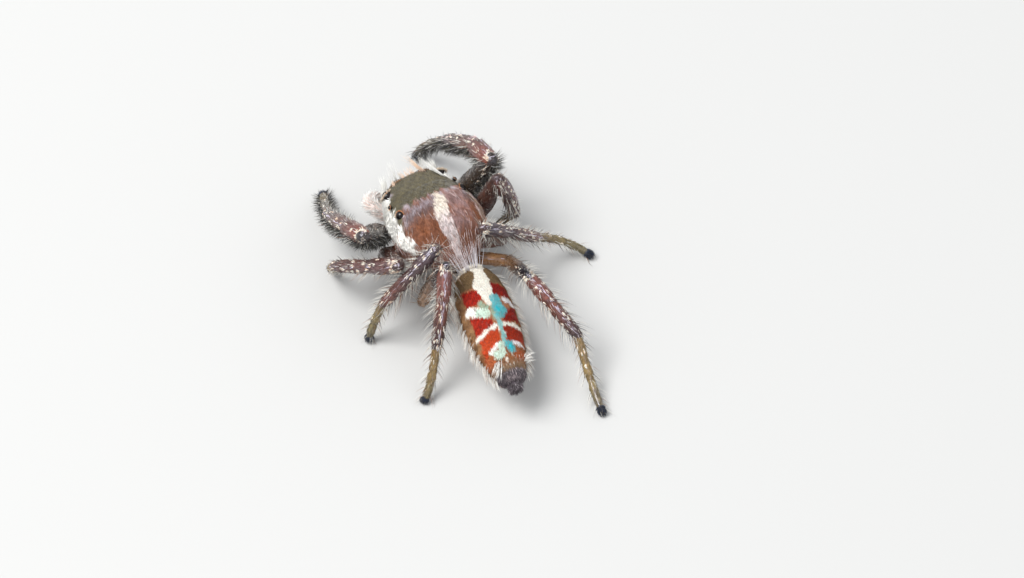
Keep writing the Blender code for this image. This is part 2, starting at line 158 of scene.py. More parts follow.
# The two furrows of the thorax: start and end along Y, depth and half width, then the place across
# at the start and how fast it changes towards the rear.
FURROW_START, FURROW_END, FURROW_DEPTH, FURROW_WIDTH = -1.3, -0.3, 0.035, 0.10
FURROW_ACROSS, FURROW_SLANT = 0.42, 0.35
# The height of the line inside the shell that humps and dips are measured away from.
SHELL_HEART = 1.5


def smooth(rows, at):
    """The values of the rows at many places, on a smooth curve through them."""
    rows, at = np.asarray(rows, float), np.asarray(at, float)
    places, values = rows[:, 0], rows[:, 1:]
    slopes = np.gradient(values, places, axis=0)
    after = np.clip(np.searchsorted(places, at), 1, len(places) - 1)
    low, high = places[after - 1], places[after]
    step = (high - low)[..., None]
    t = np.clip((at - low)[..., None] / step, 0, 1)
    return (
        values[after - 1] * (1 + 2 * t) * (1 - t) ** 2
        + slopes[after - 1] * step * t * (1 - t) ** 2
        + values[after] * t * t * (3 - 2 * t)
        + slopes[after] * step * t * t * (t - 1)
    )


def columns(rows, at):
    """The values of the rows at many places, one array for each column."""
    return np.moveaxis(smooth(rows, at), -1, 0)


def on_side(place, mirror):
    """A place or way of the left side, or the same on the right when mirror is -1."""
    return np.array(place, float) * (mirror, 1, 1)


def power(value, exponent):
    """A value's size to a power, with the value's own sign."""
    return np.abs(value) ** exponent * np.sign(value)


def unit(vectors):
    """The vectors, each made one long."""
    return vectors / np.maximum(np.linalg.norm(vectors, axis=-1, keepdims=True), 1e-12)


def hill(distance, width):
    """1 at no distance, falling smoothly to 0 past the width."""
    return np.exp(-((distance / width) ** 2))


def between(value, low, high, soft):
    """1 inside a range, 0 outside it, with soft edges."""
    rise = np.clip((value - low) / soft + 0.5, 0, 1)
    fall = np.clip((high - value) / soft + 0.5, 0, 1)
    return rise * rise * (3 - 2 * rise) * fall * fall * (3 - 2 * fall)


def ripple(points, size, seed=0):
    """A smooth random swing over the points, mostly between -1 and 1, with bumps about one size apart."""
    total = 0
    for i in range(5):
        turns = seed + 2.1 * i, 1.7 * seed + 3.3 * i, 5.2 * i + seed * 0.6
        way = np.array((math.sin(turns[0]), math.cos(turns[1]), math.sin(turns[2])))
        total = total + np.sin(points @ way * (2.2 + 0.9 * i) / size + seed + 1.9 * i)
    return total / 2.6


def shell_outline(along, turn):
    """The carapace's outer shape: along from face to rear, turn from the left side over the top."""
    y = SHELL_FRONT + (SHELL_REAR - SHELL_FRONT) * (1 - np.cos(np.pi * along)) / 2
    half_width, top = columns(SHELL_ROWS, y)
    blunt = np.maximum(np.sin(np.pi * along), 0) ** np.where(along < 0.5, FACE_BLUNT, REAR_BLUNT)
    across = power(np.cos(turn), 2 / SHELL_SQUARE)
    up = power(np.sin(turn), 2 / SHELL_SQUARE)
    margin = SHELL_BASE + SHELL_BRIM
    pole = (SHELL_BASE + top) / 2
    height = margin + np.where(up > 0, top - margin, SHELL_BRIM) * up
    under = margin + SHELL_BRIM * up * np.minimum(1, 3 * blunt)
    z = np.where(up < 0, under, pole + (height - pole) * blunt)
    return np.stack([half_width * across * blunt, y, z], -1)


def carapace_surface(along, turn):
    """The skin of the carapace: its outline less the coat, with eye humps, dip and furrows."""
    points = shell_outline(along, turn)
    x, y = points[..., 0], points[..., 1]
    out = unit(points - np.stack([np.zeros_like(x), y, np.full_like(x, SHELL_HEART)], -1))
    raised = np.full(x.shape, -COAT_DEPTH)
    for centre, radius, _, hump in EYES.values():
        for mirror in (1, -1):
            away = np.linalg.norm(points - on_side(centre, mirror), axis=-1)
            raised = raised + hump * hill(away, radius * HUMP_WIDTH)
    raised = raised - DIP_DEPTH * hill(y - DIP_PLACE, DIP_LENGTH) * hill(x, DIP_WIDTH)
    across = np.abs(x) - FURROW_ACROSS - FURROW_SLANT * (y - FURROW_START)
    furrow = hill(across, FURROW_WIDTH) * between(y, FURROW_START, FURROW_END, 0.3)
    return points + out * (raised - FURROW_DEPTH * furrow)[..., None]


def tinted(piece, colours):
    """Stores a colour for each vertex, or one for them all, which the piece's material reads."""
    values = np.ones((len(piece.data.vertices), 4))
    values[:, :3] = np.clip(colours, 0, 1)
    piece.data.color_attributes.new("tint", "FLOAT_COLOR", "POINT").data.foreach_set("color", values.ravel())


def shaped(name, surface, around, rings, colour=None):
    """A sphere whose vertices are moved onto a surface, and tinted by a colour or by a rule for it."""
    bpy.ops.object.select_all(action="DESELECT")
    bpy.ops.mesh.primitive_uv_sphere_add(segments=around, ring_count=rings, radius=1)
    piece = bpy.context.object
    piece.name = piece.data.name = name
    ball = np.empty(len(piece.data.vertices) * 3)
    piece.data.vertices.foreach_get("co", ball)
    ball = ball.reshape(-1, 3)
    along = np.arccos(np.clip(-ball[:, 2], -1, 1)) / np.pi
    turn = np.arctan2(ball[:, 1], ball[:, 0])
    points = surface(along, turn)
    piece.data.vertices.foreach_set("co", placed(points).ravel())
    bpy.ops.object.mode_set(mode="EDIT")
    bpy.ops.mesh.select_all(action="SELECT")
    bpy.ops.mesh.normals_make_consistent(inside=False)
    bpy.ops.object.mode_set(mode="OBJECT")
    bpy.ops.object.shade_smooth()
    if colour is not None:
        at = SimpleNamespace(along=along, turn=turn, points=points)
        tinted(piece, colour(at) if callable(colour) else colour)
    return piece


def joined(name, pieces):
    """Several pieces made one, under a name of its own."""
    bpy.ops.object.select_all(action="DESELECT")
    for piece in pieces:
        piece.select_set(True)
    bpy.context.view_layer.objects.active = pieces[0]
    bpy.ops.object.join()
    pieces[0].name = pieces[0].data.name = name
    return pieces[0]


def paint(red, green, blue):
    """A colour in light units from its usual 0 to 255 values."""
    value = np.array((red, green, blue)) / 255
    return np.where(value < 0.04045, value / 12.92, ((value + 0.055) / 1.055) ** 2.4)


def mixed(colours, colour, share):
    """The colours with one more colour laid over them by its share at each place."""
    return colours + (colour - colours) * np.clip(share, 0, 1)[..., None]


OLIVE, OLIVE_DARK = paint(104, 95, 66), paint(72, 65, 45)
CHESTNUT, RUST = paint(152, 92, 60), paint(168, 100, 58)
PLUM, LILAC_GREY, MAUVE = paint(112, 86, 82), paint(176, 164, 172), paint(178, 142, 138)
CREAM, WHITE_HAIR, TAN = paint(255, 246, 232), paint(252, 250, 244), paint(206, 178, 150)
STREAK_FRONT, STREAK_PALE = paint(252, 238, 222), paint(250, 234, 232)
UMBER = paint(132, 98, 88)
OLIVE_REAR, OLIVE_SIDE = -1.74, 0.88
STREAK_ROWS = np.array((
    # place along Y, middle across, half width
    (-1.68, -0.14, 0.08), (-1.52, -0.15, 0.16), (-1.27, -0.04, 0.19), (-1.02, 0.00, 0.18),
    (-0.80, 0.02, 0.18), (-0.58, 0.00, 0.15), (-0.30, 0.02, 0.08),
))
# Small lilac-grey spots beside the eyes and behind the olive field: place across and along Y, size.
PALE_SPOTS = (
    (0.71, -2.36, 0.05), (0.64, -1.74, 0.06), (0.60, -1.50, 0.06), (0.86, -1.36, 0.07), (0.52, -1.56, 0.04),
    (-0.62, -1.70, 0.06), (-0.44, -1.68, 0.05), (-0.26, -1.66, 0.05), (-0.80, -1.50, 0.05),
)
LILAC_SPOT = paint(188, 174, 180)
# The white side bands: places along Y with the heights of their upper edge, then of their lower edge.
BAND_TOPS = (-2.6, -2.25, -1.75, -1.38, -0.99, -0.75), (1.88, 1.98, 2.02, 2.07, 1.99, 1.86)
BAND_FEET = (-2.6, -2.35, -1.95, -1.35, -0.99, -0.75), (1.38, 1.38, 1.48, 1.66, 1.78, 1.84)
# The skin is darker than the hair that covers it.
SKIN_SHADE = 0.8


def carapace_tints(points):
    """The shell's markings: olive eye field, chestnut slopes, cream middle streak and side bands."""
    x, y, z = points[..., 0], points[..., 1], points[..., 2]
    rough = ripple(points, 0.16, 3) * 0.05 + ripple(points, 0.06, 8) * 0.03
    colours = np.zeros(points.shape) + CHESTNUT
    colours = mixed(colours, RUST, 0.5 + 0.5 * ripple(points, 0.22, 1))
    # The rear edge, the flanks, the band behind the eye field and the lilac sheen on its left half.
    colours = mixed(colours, PLUM, hill(y + 0.35, 0.35) * 0.4)
    colours = mixed(colours, UMBER, np.clip((1.95 - z) / 0.35, 0, 1) * 0.7)
    colours = mixed(colours, PLUM, hill(y + rough + 1.42, 0.24) * 0.9)
    sheen = hill(y + rough + 1.58, 0.16) * (0.55 + 0.6 * ripple(points, 0.11, 5))
    colours = mixed(colours, LILAC_GREY, sheen * between(x, -0.1, 0.85, 0.2))
    # The right slope, and the olive eye field, which reaches further back at its sides.
    right_slope = between(x, -0.74, -0.16, 0.16) * between(y, -1.8, -0.7, 0.3)
    colours = mixed(colours, MAUVE, right_slope * (0.7 + 0.4 * ripple(points, 0.13, 6)))
    side_field = 0.48 * between(np.abs(x), OLIVE_SIDE, 1.3, 0.06)
    field = between(y + rough, -3.0, OLIVE_REAR + side_field, 0.05) * np.clip((z - 1.84) / 0.10, 0, 1)
    field_colour = OLIVE + (OLIVE_DARK - OLIVE) * (0.45 + 0.4 * ripple(points, 0.12, 2))[..., None]
    colours = mixed(colours, field_colour, field)
    # The middle streak, the spots and the white side bands, tan on the right side towards the rear.
    middle, half = columns(STREAK_ROWS, y)
    inside = between(np.abs(x - middle) + rough, -1, half, 0.06) * between(y, -1.72, -0.25, 0.08)
    streak = mixed(STREAK_FRONT, STREAK_PALE, (y + 1.3) / 0.3)
    colours = mixed(colours, streak, inside * np.clip((z - 1.5) / 0.1, 0, 1))
    for spot_x, spot_y, size in PALE_SPOTS:
        colours = mixed(colours, LILAC_SPOT, hill(np.hypot(x - spot_x, y - spot_y), size) * (z > 1.8))
    edges = np.interp(y, *BAND_FEET), np.interp(y, *BAND_TOPS)
    band = between(z + rough, *edges, 0.06) * between(y, -2.75, -0.72, 0.08) * (np.abs(x) > 0.3)
    return mixed(colours, mixed(WHITE_HAIR, TAN, (x < 0) * (y + 2.5) / 0.5), band)


def node(tree, kind, values=None, **settings):
    """A new shader node with its settings and the values of its inputs."""
    made = tree.nodes.new(kind)
    for setting, value in settings.items():
        setattr(made, setting, value)
    for socket, value in (values or {}).items():
        made.inputs[socket].default_value = value
    return made


def grain_group():
    """Fine pits and uneven colour for skin, shell and hair: a colour, a height and a roughness."""
    group = bpy.data.node_groups.new("grain", "ShaderNodeTree")
    for way, names in (("INPUT", ("Colour", "Size", "Strength", "Roughness")),
                       ("OUTPUT", ("Colour", "Height", "Roughness"))):
        for name in names:
            kind = "NodeSocketColor" if name == "Colour" else "NodeSocketFloat"
            group.interface.new_socket(name, in_out=way, socket_type=kind)
    given, result = node(group, "NodeGroupInput").outputs, node(group, "NodeGroupOutput").inputs
    place = node(group, "ShaderNodeTexCoord")
    per_metre = node(group, "ShaderNodeMath", {0: 1 / MM}, operation="DIVIDE")
    noise = node(group, "ShaderNodeTexNoise", {"Detail": 3})
    swing = node(group, "ShaderNodeMapRange", {"From Min": 0.3, "From Max": 0.7, "To Min": -1.0})
    amount = node(group, "ShaderNodeMath", {2: 1.0}, operation="MULTIPLY_ADD")
    shade = node(group, "ShaderNodeVectorMath", operation="SCALE")
    gloss = node(group, "ShaderNodeMath", operation="MULTIPLY")
    for start, end in (
        (given["Size"], per_metre.inputs[1]),
        (place.outputs["Object"], noise.inputs["Vector"]),
        (per_metre.outputs[0], noise.inputs["Scale"]),
        (noise.outputs["Fac"], swing.inputs["Value"]),
        (swing.outputs["Result"], amount.inputs[0]),
        (given["Strength"], amount.inputs[1]),
        (given["Colour"], shade.inputs[0]),
        (amount.outputs[0], shade.inputs["Scale"]),
        (given["Roughness"], gloss.inputs[0]),
        (amount.outputs[0], gloss.inputs[1]),
        (shade.outputs["Vector"], result["Colour"]),
        (noise.outputs["Fac"], result["Height"]),
        (gloss.outputs[0], result["Roughness"]),
    ):
        group.links.new(start, end)
    return group


grain = grain_group()


def tint_finish(name, size, strength, roughness, bump, specular=0.5, coat=0.0, coat_roughness=0.2,
                specular_tint=(1, 1, 1), sheen=0.0):
    """A finish that takes its colour from the piece's own tint and is broken up by fine grain."""
    made, principled = shader_of(name)
    tree, sockets = made.node_tree, principled.inputs
    tint = node(tree, "ShaderNodeAttribute", attribute_name="tint")
    broken = node(
        tree, "ShaderNodeGroup", {"Size": size, "Strength": strength, "Roughness": roughness}, node_tree=grain
    )
    tree.links.new(tint.outputs["Color"], broken.inputs["Colour"])
    tree.links.new(broken.outputs["Colour"], sockets["Base Color"])
    tree.links.new(broken.outputs["Roughness"], sockets["Roughness"])
    if bump:
        raised = node(tree, "ShaderNodeBump", {"Strength": 1.0, "Distance": bump * MM})
        tree.links.new(broken.outputs["Height"], raised.inputs["Height"])
        tree.links.new(raised.outputs["Normal"], sockets["Normal"])
    sockets["Specular IOR Level"].default_value = specular
    sockets["Specular Tint"].default_value = (*specular_tint, 1)
    sockets["Coat Weight"].default_value = coat
    sockets["Coat Roughness"].default_value = coat_roughness
    sockets["Sheen Weight"].default_value = sheen
    return made


def fitted(piece, material, slot, *nodes):
    """Gives a piece its finish, lets it ride on the body, and hides what it replaces. The slot is not used.
    """
    piece.data.materials.clear()
    piece.data.materials.append(material)
    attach(piece, "root")
    if nodes:
        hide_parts(*nodes)


shell_skin = tint_finish("carapace skin", 0.05, 0.25, 0.45, 0.012, coat=0.15)
carapace = shaped(
    "carapace_skin", carapace_surface, 200, 150, lambda at: carapace_tints(at.points) * SKIN_SHADE
)
fitted(carapace, shell_skin, "carapace", "carapace")

# The coat of the carapace. Short flat-lying hairs cover the whole shell, olive on the eye field,
# rust and plum behind it, white in the bands low on both sides and cream in the middle streak.
# Each hair is a thin closed cone, bent towards the rear.
HAIR_SIDES = 3
# How deep a hair's root is sunk into the skin, and how far each hair stays above the board.
ROOT_DEPTH, BOARD_GAP = 0.02, 0.004
# The size of a hair's patch on its piece's unwrap.
PATCH = 0.003
# Places tried for each root that is kept, and the small step that tells how a surface runs.
TRIES, NUDGE = 7, 1e-3


def runs(surface, along, turn):
    """Places of a surface, with a short step from each to its rear and one round it."""
    here = surface(along, turn)
    step = np.minimum(NUDGE, along * 0.1)
    return here, surface(along + step, turn) - here, surface(along, turn + NUDGE) - here, step


def rooted(surface, along, turn, tile=0, tiles=1):
    """Hair roots at given places of a surface, with their normal, back, side and place on its unwrap."""
    here, back, round_it, _ = runs(surface, along, turn)
    middle = (surface(along, np.zeros_like(turn)) + surface(along, np.full_like(turn, np.pi))) / 2
    normal = unit(np.cross(back, round_it))
    normal = normal * np.sign(np.sum(normal * (here - middle), axis=-1, keepdims=True))
    back = unit(back)
    return SimpleNamespace(
        along=along, turn=turn, root=here, normal=normal, back=back, side=np.cross(normal, back),
        across=(turn / (2 * np.pi) + 0.5 + tile) / tiles,
    )


def scattered(surface, count, favour=None, first=0.004, last=0.996, tile=0, tiles=1, blunt=1):
    """Roots spread over a surface, as thickly as favour says; blunt draws more of them near its front."""
    tries = count * TRIES
    chance, turn = draw.uniform(0, 1, tries), draw.uniform(-np.pi, np.pi, tries)
    along = first + (last - first) * chance**blunt
    here, back, round_it, step = runs(surface, along, turn)
    share = np.linalg.norm(np.cross(back, round_it), axis=-1) / step * chance ** (blunt - 1)
    if favour is not None:
        share = share * favour(here, along, turn)
    picks = np.searchsorted(np.cumsum(share), (np.arange(count) + 0.5) / count * share.sum())
    picks = np.clip(picks, 0, tries - 1)
    return rooted(surface, along[picks], turn[picks], tile, tiles)


def gathered(*groups):
    """Several groups of roots as one."""
    return SimpleNamespace(**{
        key: np.concatenate([getattr(group, key) for group in groups]) for key in vars(groups[0])
    })


def spread(count, low, high):
    """One random value for each hair, as a column."""
    return draw.uniform(low, high, (count, 1))


def speckled(colours, amount):
    """The colours with each hair a little lighter or darker than its neighbour."""
    return np.clip(colours * spread(len(colours), 1 - amount, 1 + amount), 0, 1)


def strands(name, roots, ways, bends, length, width, colours, mottle=0.0, flat=1.0, stations=3,
            fullness=0.75, dark_root=0.75):
    """One mesh of closed tapering hairs, each from its root along its way, bent as it goes.

    mottle tells how much one hair differs from the next in brightness, flat how thick it is for its
    width, stations how many rings it has, and fullness how early it tapers.
    """
    count = len(roots.root)
    ways = unit(ways)
    colours = np.zeros((count, 3)) + colours
    if mottle:
        colours = speckled(colours, mottle)
    t = np.linspace(0, 1, stations + 1)[:-1]
    length, width = (np.broadcast_to(np.reshape(value, (-1, 1)), (count, 1)) for value in (length, width))
    base = roots.root - ways * ROOT_DEPTH
    centre = base[:, None] + (ways * (length + ROOT_DEPTH))[:, None] * t[None, :, None]
    centre = centre + (bends * length)[:, None] * (t**2)[None, :, None]
    across = unit(np.cross(ways, roots.normal + 1e-6))
    thick = unit(np.cross(across, ways))
    angle = np.arange(HAIR_SIDES) * 2 * np.pi / HAIR_SIDES
    ring = across[:, None] * np.cos(angle)[None, :, None]
    ring = ring + thick[:, None] * np.sin(angle)[None, :, None] * flat
    size = (1 - t) ** fullness * width / 2
    body = centre[:, :, None] + ring[:, None] * size[:, :, None, None]
    tip = base + ways * (length + ROOT_DEPTH) + bends * length
    each = stations * HAIR_SIDES + 1
    points = np.concatenate([body.reshape(count, -1, 3), tip[:, None]], 1)
    points[..., 2] = np.maximum(points[..., 2], BOARD_GAP)
    faces = [tuple(reversed(range(HAIR_SIDES)))]
    for k in range(stations - 1):
        for j in range(HAIR_SIDES):
            a, b = k * HAIR_SIDES + j, k * HAIR_SIDES + (j + 1) % HAIR_SIDES
            faces += [(a, b, b + HAIR_SIDES), (a, b + HAIR_SIDES, a + HAIR_SIDES)]
    last = (stations - 1) * HAIR_SIDES
    faces += [(last + j, last + (j + 1) % HAIR_SIDES, each - 1) for j in range(HAIR_SIDES)]
    corners = (np.array(faces)[None] + (np.arange(count) * each)[:, None, None]).reshape(-1)
    mesh = bpy.data.meshes.new(name)
    mesh.vertices.add(count * each)
    mesh.vertices.foreach_set("co", placed(points.reshape(-1, 3)).ravel())
    mesh.loops.add(len(corners))
    mesh.loops.foreach_set("vertex_index", corners)
    mesh.polygons.add(len(corners) // 3)
    mesh.polygons.foreach_set("loop_start", np.arange(0, len(corners), 3))
    mesh.polygons.foreach_set("use_smooth", np.ones(len(corners) // 3, bool))
    mesh.update(calc_edges=True)
    spot = np.stack([
        np.concatenate([np.tile(np.cos(angle), stations), [0]]),
        np.concatenate([np.repeat(t * 2 - 1, HAIR_SIDES), [1]]),
    ], -1) * PATCH / 2
    place = np.stack([roots.across, roots.along], -1)
    patches = (place[:, None] + spot[None]).reshape(-1, 2)[corners]
    mesh.uv_layers.new(name="OFBake").data.foreach_set("uv", patches.ravel())
    piece = bpy.data.objects.new(name, mesh)
    bpy.context.scene.collection.objects.link(piece)
    shade = np.repeat(dark_root + (1 - dark_root) * np.minimum(1, 2 * t), HAIR_SIDES)
    shade = np.concatenate([shade, [1.0]])
    tinted(piece, (colours[:, None] * shade[None, :, None]).reshape(-1, 3))
    return piece


hair_finish = tint_finish("body hair", 0.03, 0.10, 0.50, 0, specular=0.45, sheen=0.15)


def off_eyes(points, along, turn):
    """1 where the shell's coat grows, 0 on the eyes and under the rim."""
    bare = np.ones(len(points))
    for centre, radius, _, _ in EYES.values():
        for mirror in (1, -1):
            bare *= np.linalg.norm(points - on_side(centre, mirror), axis=-1) > radius * 1.12
    return bare * (np.sin(turn) > -0.05)


def white_share(points):
    """How far each place of the shell lies in the white side bands."""
    pale = np.clip((carapace_tints(points).mean(-1) - 0.5) / 0.2, 0, 1)
    return pale * (np.abs(points[:, 0]) > 0.55)


def shell_lie(roots):
    """The way the shell's hairs lie: back and outwards over the thorax, forwards on the face."""
    points = roots.root
    forward = np.clip((-1.9 - points[:, 1]) / 0.4, 0, 1)[:, None]
    outward = np.sign(points[:, :1]) * np.clip(np.abs(points[:, :1]) - 0.35, 0, 1) * 0.5
    lie = roots.back * (1 - 1.6 * forward) + np.array((1.0, 0, 0)) * outward - np.array((0, 0, 0.3))
    return unit(lie - roots.normal * np.sum(lie * roots.normal, -1, keepdims=True))


COUNT = 19500
roots = scattered(carapace_surface, COUNT, off_eyes)
olive = between(roots.root[:, 1], -3, OLIVE_REAR, 0.02)[:, None]
lie = unit(shell_lie(roots) + roots.side * spread(COUNT, -0.2, 0.2))
coat = strands(
    "carapace_coat", roots, lie + roots.normal * (0.14 + spread(COUNT, -0.08, 0.08)),
    -roots.normal * 0.16, spread(COUNT, 0.12, 0.22) - 0.08 * olive,
    spread(COUNT, 0.012, 0.021) + 0.007 * olive, carapace_tints(roots.root),
    mottle=0.17, flat=0.6, stations=2, dark_root=0.85,
)
fitted(coat, hair_finish, "carapace")

# The long pale hair of the head. Thick white bands bulge from both cheeks, loose lilac-white
# hairs lie over thorax and flanks, and raised cream hair fills the middle streak. Curved wisps rise
# over the front eyes, and a white fringe hangs from the face over the jaws.
COUNT = 5200
roots = scattered(carapace_surface, COUNT, lambda p, a, t: white_share(p) * off_eyes(p, a, t))
lie = unit(shell_lie(roots) + roots.side * spread(COUNT, -0.3, 0.3))
bulge = between(roots.root[:, 1], -2.75, -1.5, 0.3)[:, None]
band = strands(
    "cheek_hair", roots, lie + roots.normal * (0.35 + 0.45 * bulge * spread(COUNT, 0.5, 1.2)),
    -roots.normal * 0.35, spread(COUNT, 0.16, 0.27), spread(COUNT, 0.018, 0.028), WHITE_HAIR,
    mottle=0.05, dark_root=0.9,
)
fitted(band, hair_finish, "carapace")


def loose_favour(points, along, turn):
    """How thickly loose hair grows: most along the rear edge, the flanks and the right slope."""
    x, y = points[:, 0], points[:, 1]
    margin = 0.8 * hill(y + 0.35, 0.3) + 0.8 * (np.abs(x) > 0.85) + 0.5 * hill(x + 0.62, 0.1)
    return off_eyes(points, along, turn) * (y > -1.7) * (0.12 + margin)


COUNT = 650
THORAX_PALE, THORAX_RUST = paint(230, 208, 204), paint(176, 122, 88)
roots = scattered(carapace_surface, COUNT, loose_favour)
lie = shell_lie(roots) + roots.side * spread(COUNT, -0.35, 0.35)
loose_hair = strands(
    "thorax_hair", roots, lie + roots.normal * spread(COUNT, 0.2, 0.5), -roots.normal * 0.3,
    spread(COUNT, 0.18, 0.36), spread(COUNT, 0.009, 0.014),
    np.where(spread(COUNT, 0, 1) < 0.6, THORAX_PALE, THORAX_RUST), mottle=0.12,
)
fitted(loose_hair, hair_finish, "carapace")


def streak_favour(points, along, turn):
    """1 in the middle streak of the shell, 0 beside it."""
    middle, half = columns(STREAK_ROWS, points[:, 1])
    inside = between(np.abs(points[:, 0] - middle), -1, half, 0.05)
    return inside * between(points[:, 1], -1.70, -0.3, 0.06)


COUNT = 1300
roots = scattered(carapace_surface, COUNT, streak_favour)
rear = np.clip((roots.root[:, 1] + 1.3) / 0.4, 0, 1)[:, None]
streak = strands(
    "streak_hair", roots,
    roots.back + roots.side * spread(COUNT, -0.16, 0.16) + roots.normal * spread(COUNT, 0.14, 0.3),
    -roots.normal * 0.2, spread(COUNT, 0.10, 0.16) + rear * spread(COUNT, 0.05, 0.16),
    spread(COUNT, 0.016, 0.024) - 0.004 * rear, STREAK_FRONT + (STREAK_PALE - STREAK_FRONT) * rear,
    mottle=0.10, flat=0.6, dark_root=0.88,
)
fitted(streak, hair_finish, "carapace")

# Locks of the brow and cheeks: how far along the shell, turn from and to in degrees from the left
# side over the top, how many hairs, length, the way they stand and bend, looseness and colour.
PEACH, GREY_WHITE = paint(255, 222, 196), paint(236, 234, 228)
LOCKS = (
    (0.290, 129, 139, 26, 0.82, (0.46, -0.52, 0.50), (0.04, -0.20, -0.16), 0.05, WHITE_HAIR),
    (0.150, 106, 116, 22, 0.66, (0.40, -0.56, 0.48), (0.04, -0.16, -0.12), 0.06, PEACH),
    (0.145, 56, 64, 26, 0.13, (0.10, -0.55, 0.70), (0.00, -0.20, -0.05), 0.25, PEACH),
    (0.090, 80, 98, 34, 0.20, (0.10, -0.70, 0.60), (0.02, -0.20, -0.10), 0.20, PEACH),
    (0.110, 48, 78, 26, 0.52, (-0.02, -0.60, 0.62), (0.00, -0.20, -0.05), 0.10, GREY_WHITE),
    (0.110, 100, 128, 18, 0.40, (-0.10, -0.60, 0.60), (0.05, -0.20, -0.08), 0.14, GREY_WHITE),
    (0.170, 2, 36, 260, 0.46, (-0.06, -0.46, 0.70), (-0.16, -0.20, -0.02), 0.09, WHITE_HAIR),
    (0.170, 144, 178, 200, 0.42, (0.06, -0.46, 0.70), (0.16, -0.20, -0.02), 0.09, WHITE_HAIR),
)
groups, stands, bends, lengths, colours = [], [], [], [], []
for along, low, high, count, length, stand, bend, looseness, colour in LOCKS:
    groups.append(rooted(
        carapace_surface, along + draw.normal(0, 0.012, count), np.radians(draw.uniform(low, high, count))
    ))
    stands.append(unit(np.array(stand) + draw.normal(0, looseness, (count, 3))))
    bends.append(np.array(bend) + draw.normal(0, 0.5 * looseness, (count, 3)))
    lengths.append(length * draw.uniform(0.35, 1.05, count))
    colours.append(np.tile(colour, (count, 1)))
wisps = strands(
    "brow_hair", gathered(*groups), np.concatenate(stands), np.concatenate(bends), np.concatenate(lengths),
    0.017, np.concatenate(colours), mottle=0.06, stations=5,
)
fitted(wisps, hair_finish, "carapace")


def face_favour(points, along, turn):
    """1 on the front of the face between the eyes and the shell's lower edge."""
    y, z = points[:, 1], points[:, 2]
    return off_eyes(points, along, turn) * (y < -2.6) * (z < 1.95) * (z > 1.29)


COUNT = 2600
HANGING, FACE_WHITE = np.array((0, -0.45, -0.9)), paint(244, 234, 218)
roots = scattered(carapace_surface, COUNT, face_favour, first=1e-7, last=0.12, blunt=8)
fringe = strands(
    "face_hair", roots, HANGING + roots.side * spread(COUNT, -0.3, 0.3), np.array((0, 0.25, -0.2)),
    spread(COUNT, 0.14, 0.28), spread(COUNT, 0.018, 0.026), FACE_WHITE, mottle=0.08,
)
fitted(fringe, hair_finish, "carapace")

# The eyes. Eight smooth black lenses in three rows, the front pair the largest. Each sits in a
# low ring of bare orange-brown skin, and the front four have rims of short cream-orange hair.
LENS_SHARE = {"front_middle": 1.03, "front_side": 1.0, "rear_middle": 0.95, "rear_side": 1.02}
RING_SHARE, RING_THICKNESS, RING_FORWARD = 0.95, 0.12, 0.30


def ball_surface(centre, radii):
    """A ball or egg about a centre, with its poles to front and rear."""
    centre, radii = np.array(centre, float), np.broadcast_to(radii, 3)

    def surface(along, turn):
        out = np.sin(np.pi * along)
        place = np.stack([out * np.cos(turn), -np.cos(np.pi * along), out * np.sin(turn)], -1)
        return centre + place * radii

    return surface


def noise_finish(name, size, first, second, roughness, specular=0.5):
    """A finish coloured by noise between two colours, with its roughness between two values."""
    made, principled = shader_of(name)
    tree = made.node_tree
    place = node(tree, "ShaderNodeTexCoord")
    noise = node(tree, "ShaderNodeTexNoise", {"Scale": 1 / (size * MM), "Detail": 3})
    ramp = node(tree, "ShaderNodeValToRGB")
    for element, position, colour in zip(ramp.color_ramp.elements, (0.35, 0.65), (first, second)):
        element.position, element.color = position, (*colour, 1)
    gloss = node(tree, "ShaderNodeMapRange", {"To Min": roughness[0], "To Max": roughness[1]})
    principled.inputs["Specular IOR Level"].default_value = specular
    for start, end in (
        (place.outputs["Object"], noise.inputs["Vector"]),
        (noise.outputs["Fac"], ramp.inputs["Fac"]),
        (ramp.outputs["Color"], principled.inputs["Base Color"]),
        (noise.outputs["Fac"], gloss.inputs["Value"]),
        (gloss.outputs["Result"], principled.inputs["Roughness"]),
    ):
        tree.links.new(start, end)
    return made


lens = noise_finish("eye lens", 0.12, (0.002, 0.002, 0.003), (0.010, 0.005, 0.003), (0.03, 0.10), 0.4)
ring_skin = noise_finish("eye rim skin", 0.04, paint(120, 78, 50), paint(186, 116, 66), (0.3, 0.5))
for name, (place, radius, gaze, _) in EYES.items():
    for side, mirror in (("l", 1), ("r", -1)):
        centre, way = on_side(place, mirror), Vector(on_side(gaze, mirror)).normalized()
        eye = shaped(f"eye_{name}_{side}", ball_surface(centre, radius * LENS_SHARE[name]), 48, 32)
        fitted(eye, lens, "eye", f"eye_{name}_{side}")
        bpy.ops.object.select_all(action="DESELECT")
        bpy.ops.mesh.primitive_torus_add(
            major_segments=48, minor_segments=12, major_radius=radius * LENS_SHARE[name] * RING_SHARE * MM,
            minor_radius=radius * RING_THICKNESS * MM,
            location=placed(centre + np.array(way) * radius * RING_FORWARD),
            rotation=way.to_track_quat("Z", "Y").to_euler(),
        )
        ring = bpy.context.object
        ring.name = ring.data.name = f"eye_{name}_{side}_rim"
        bpy.ops.object.transform_apply(location=True, rotation=True, scale=True)
        bpy.ops.object.shade_smooth()
        fitted(ring, ring_skin, "eye")

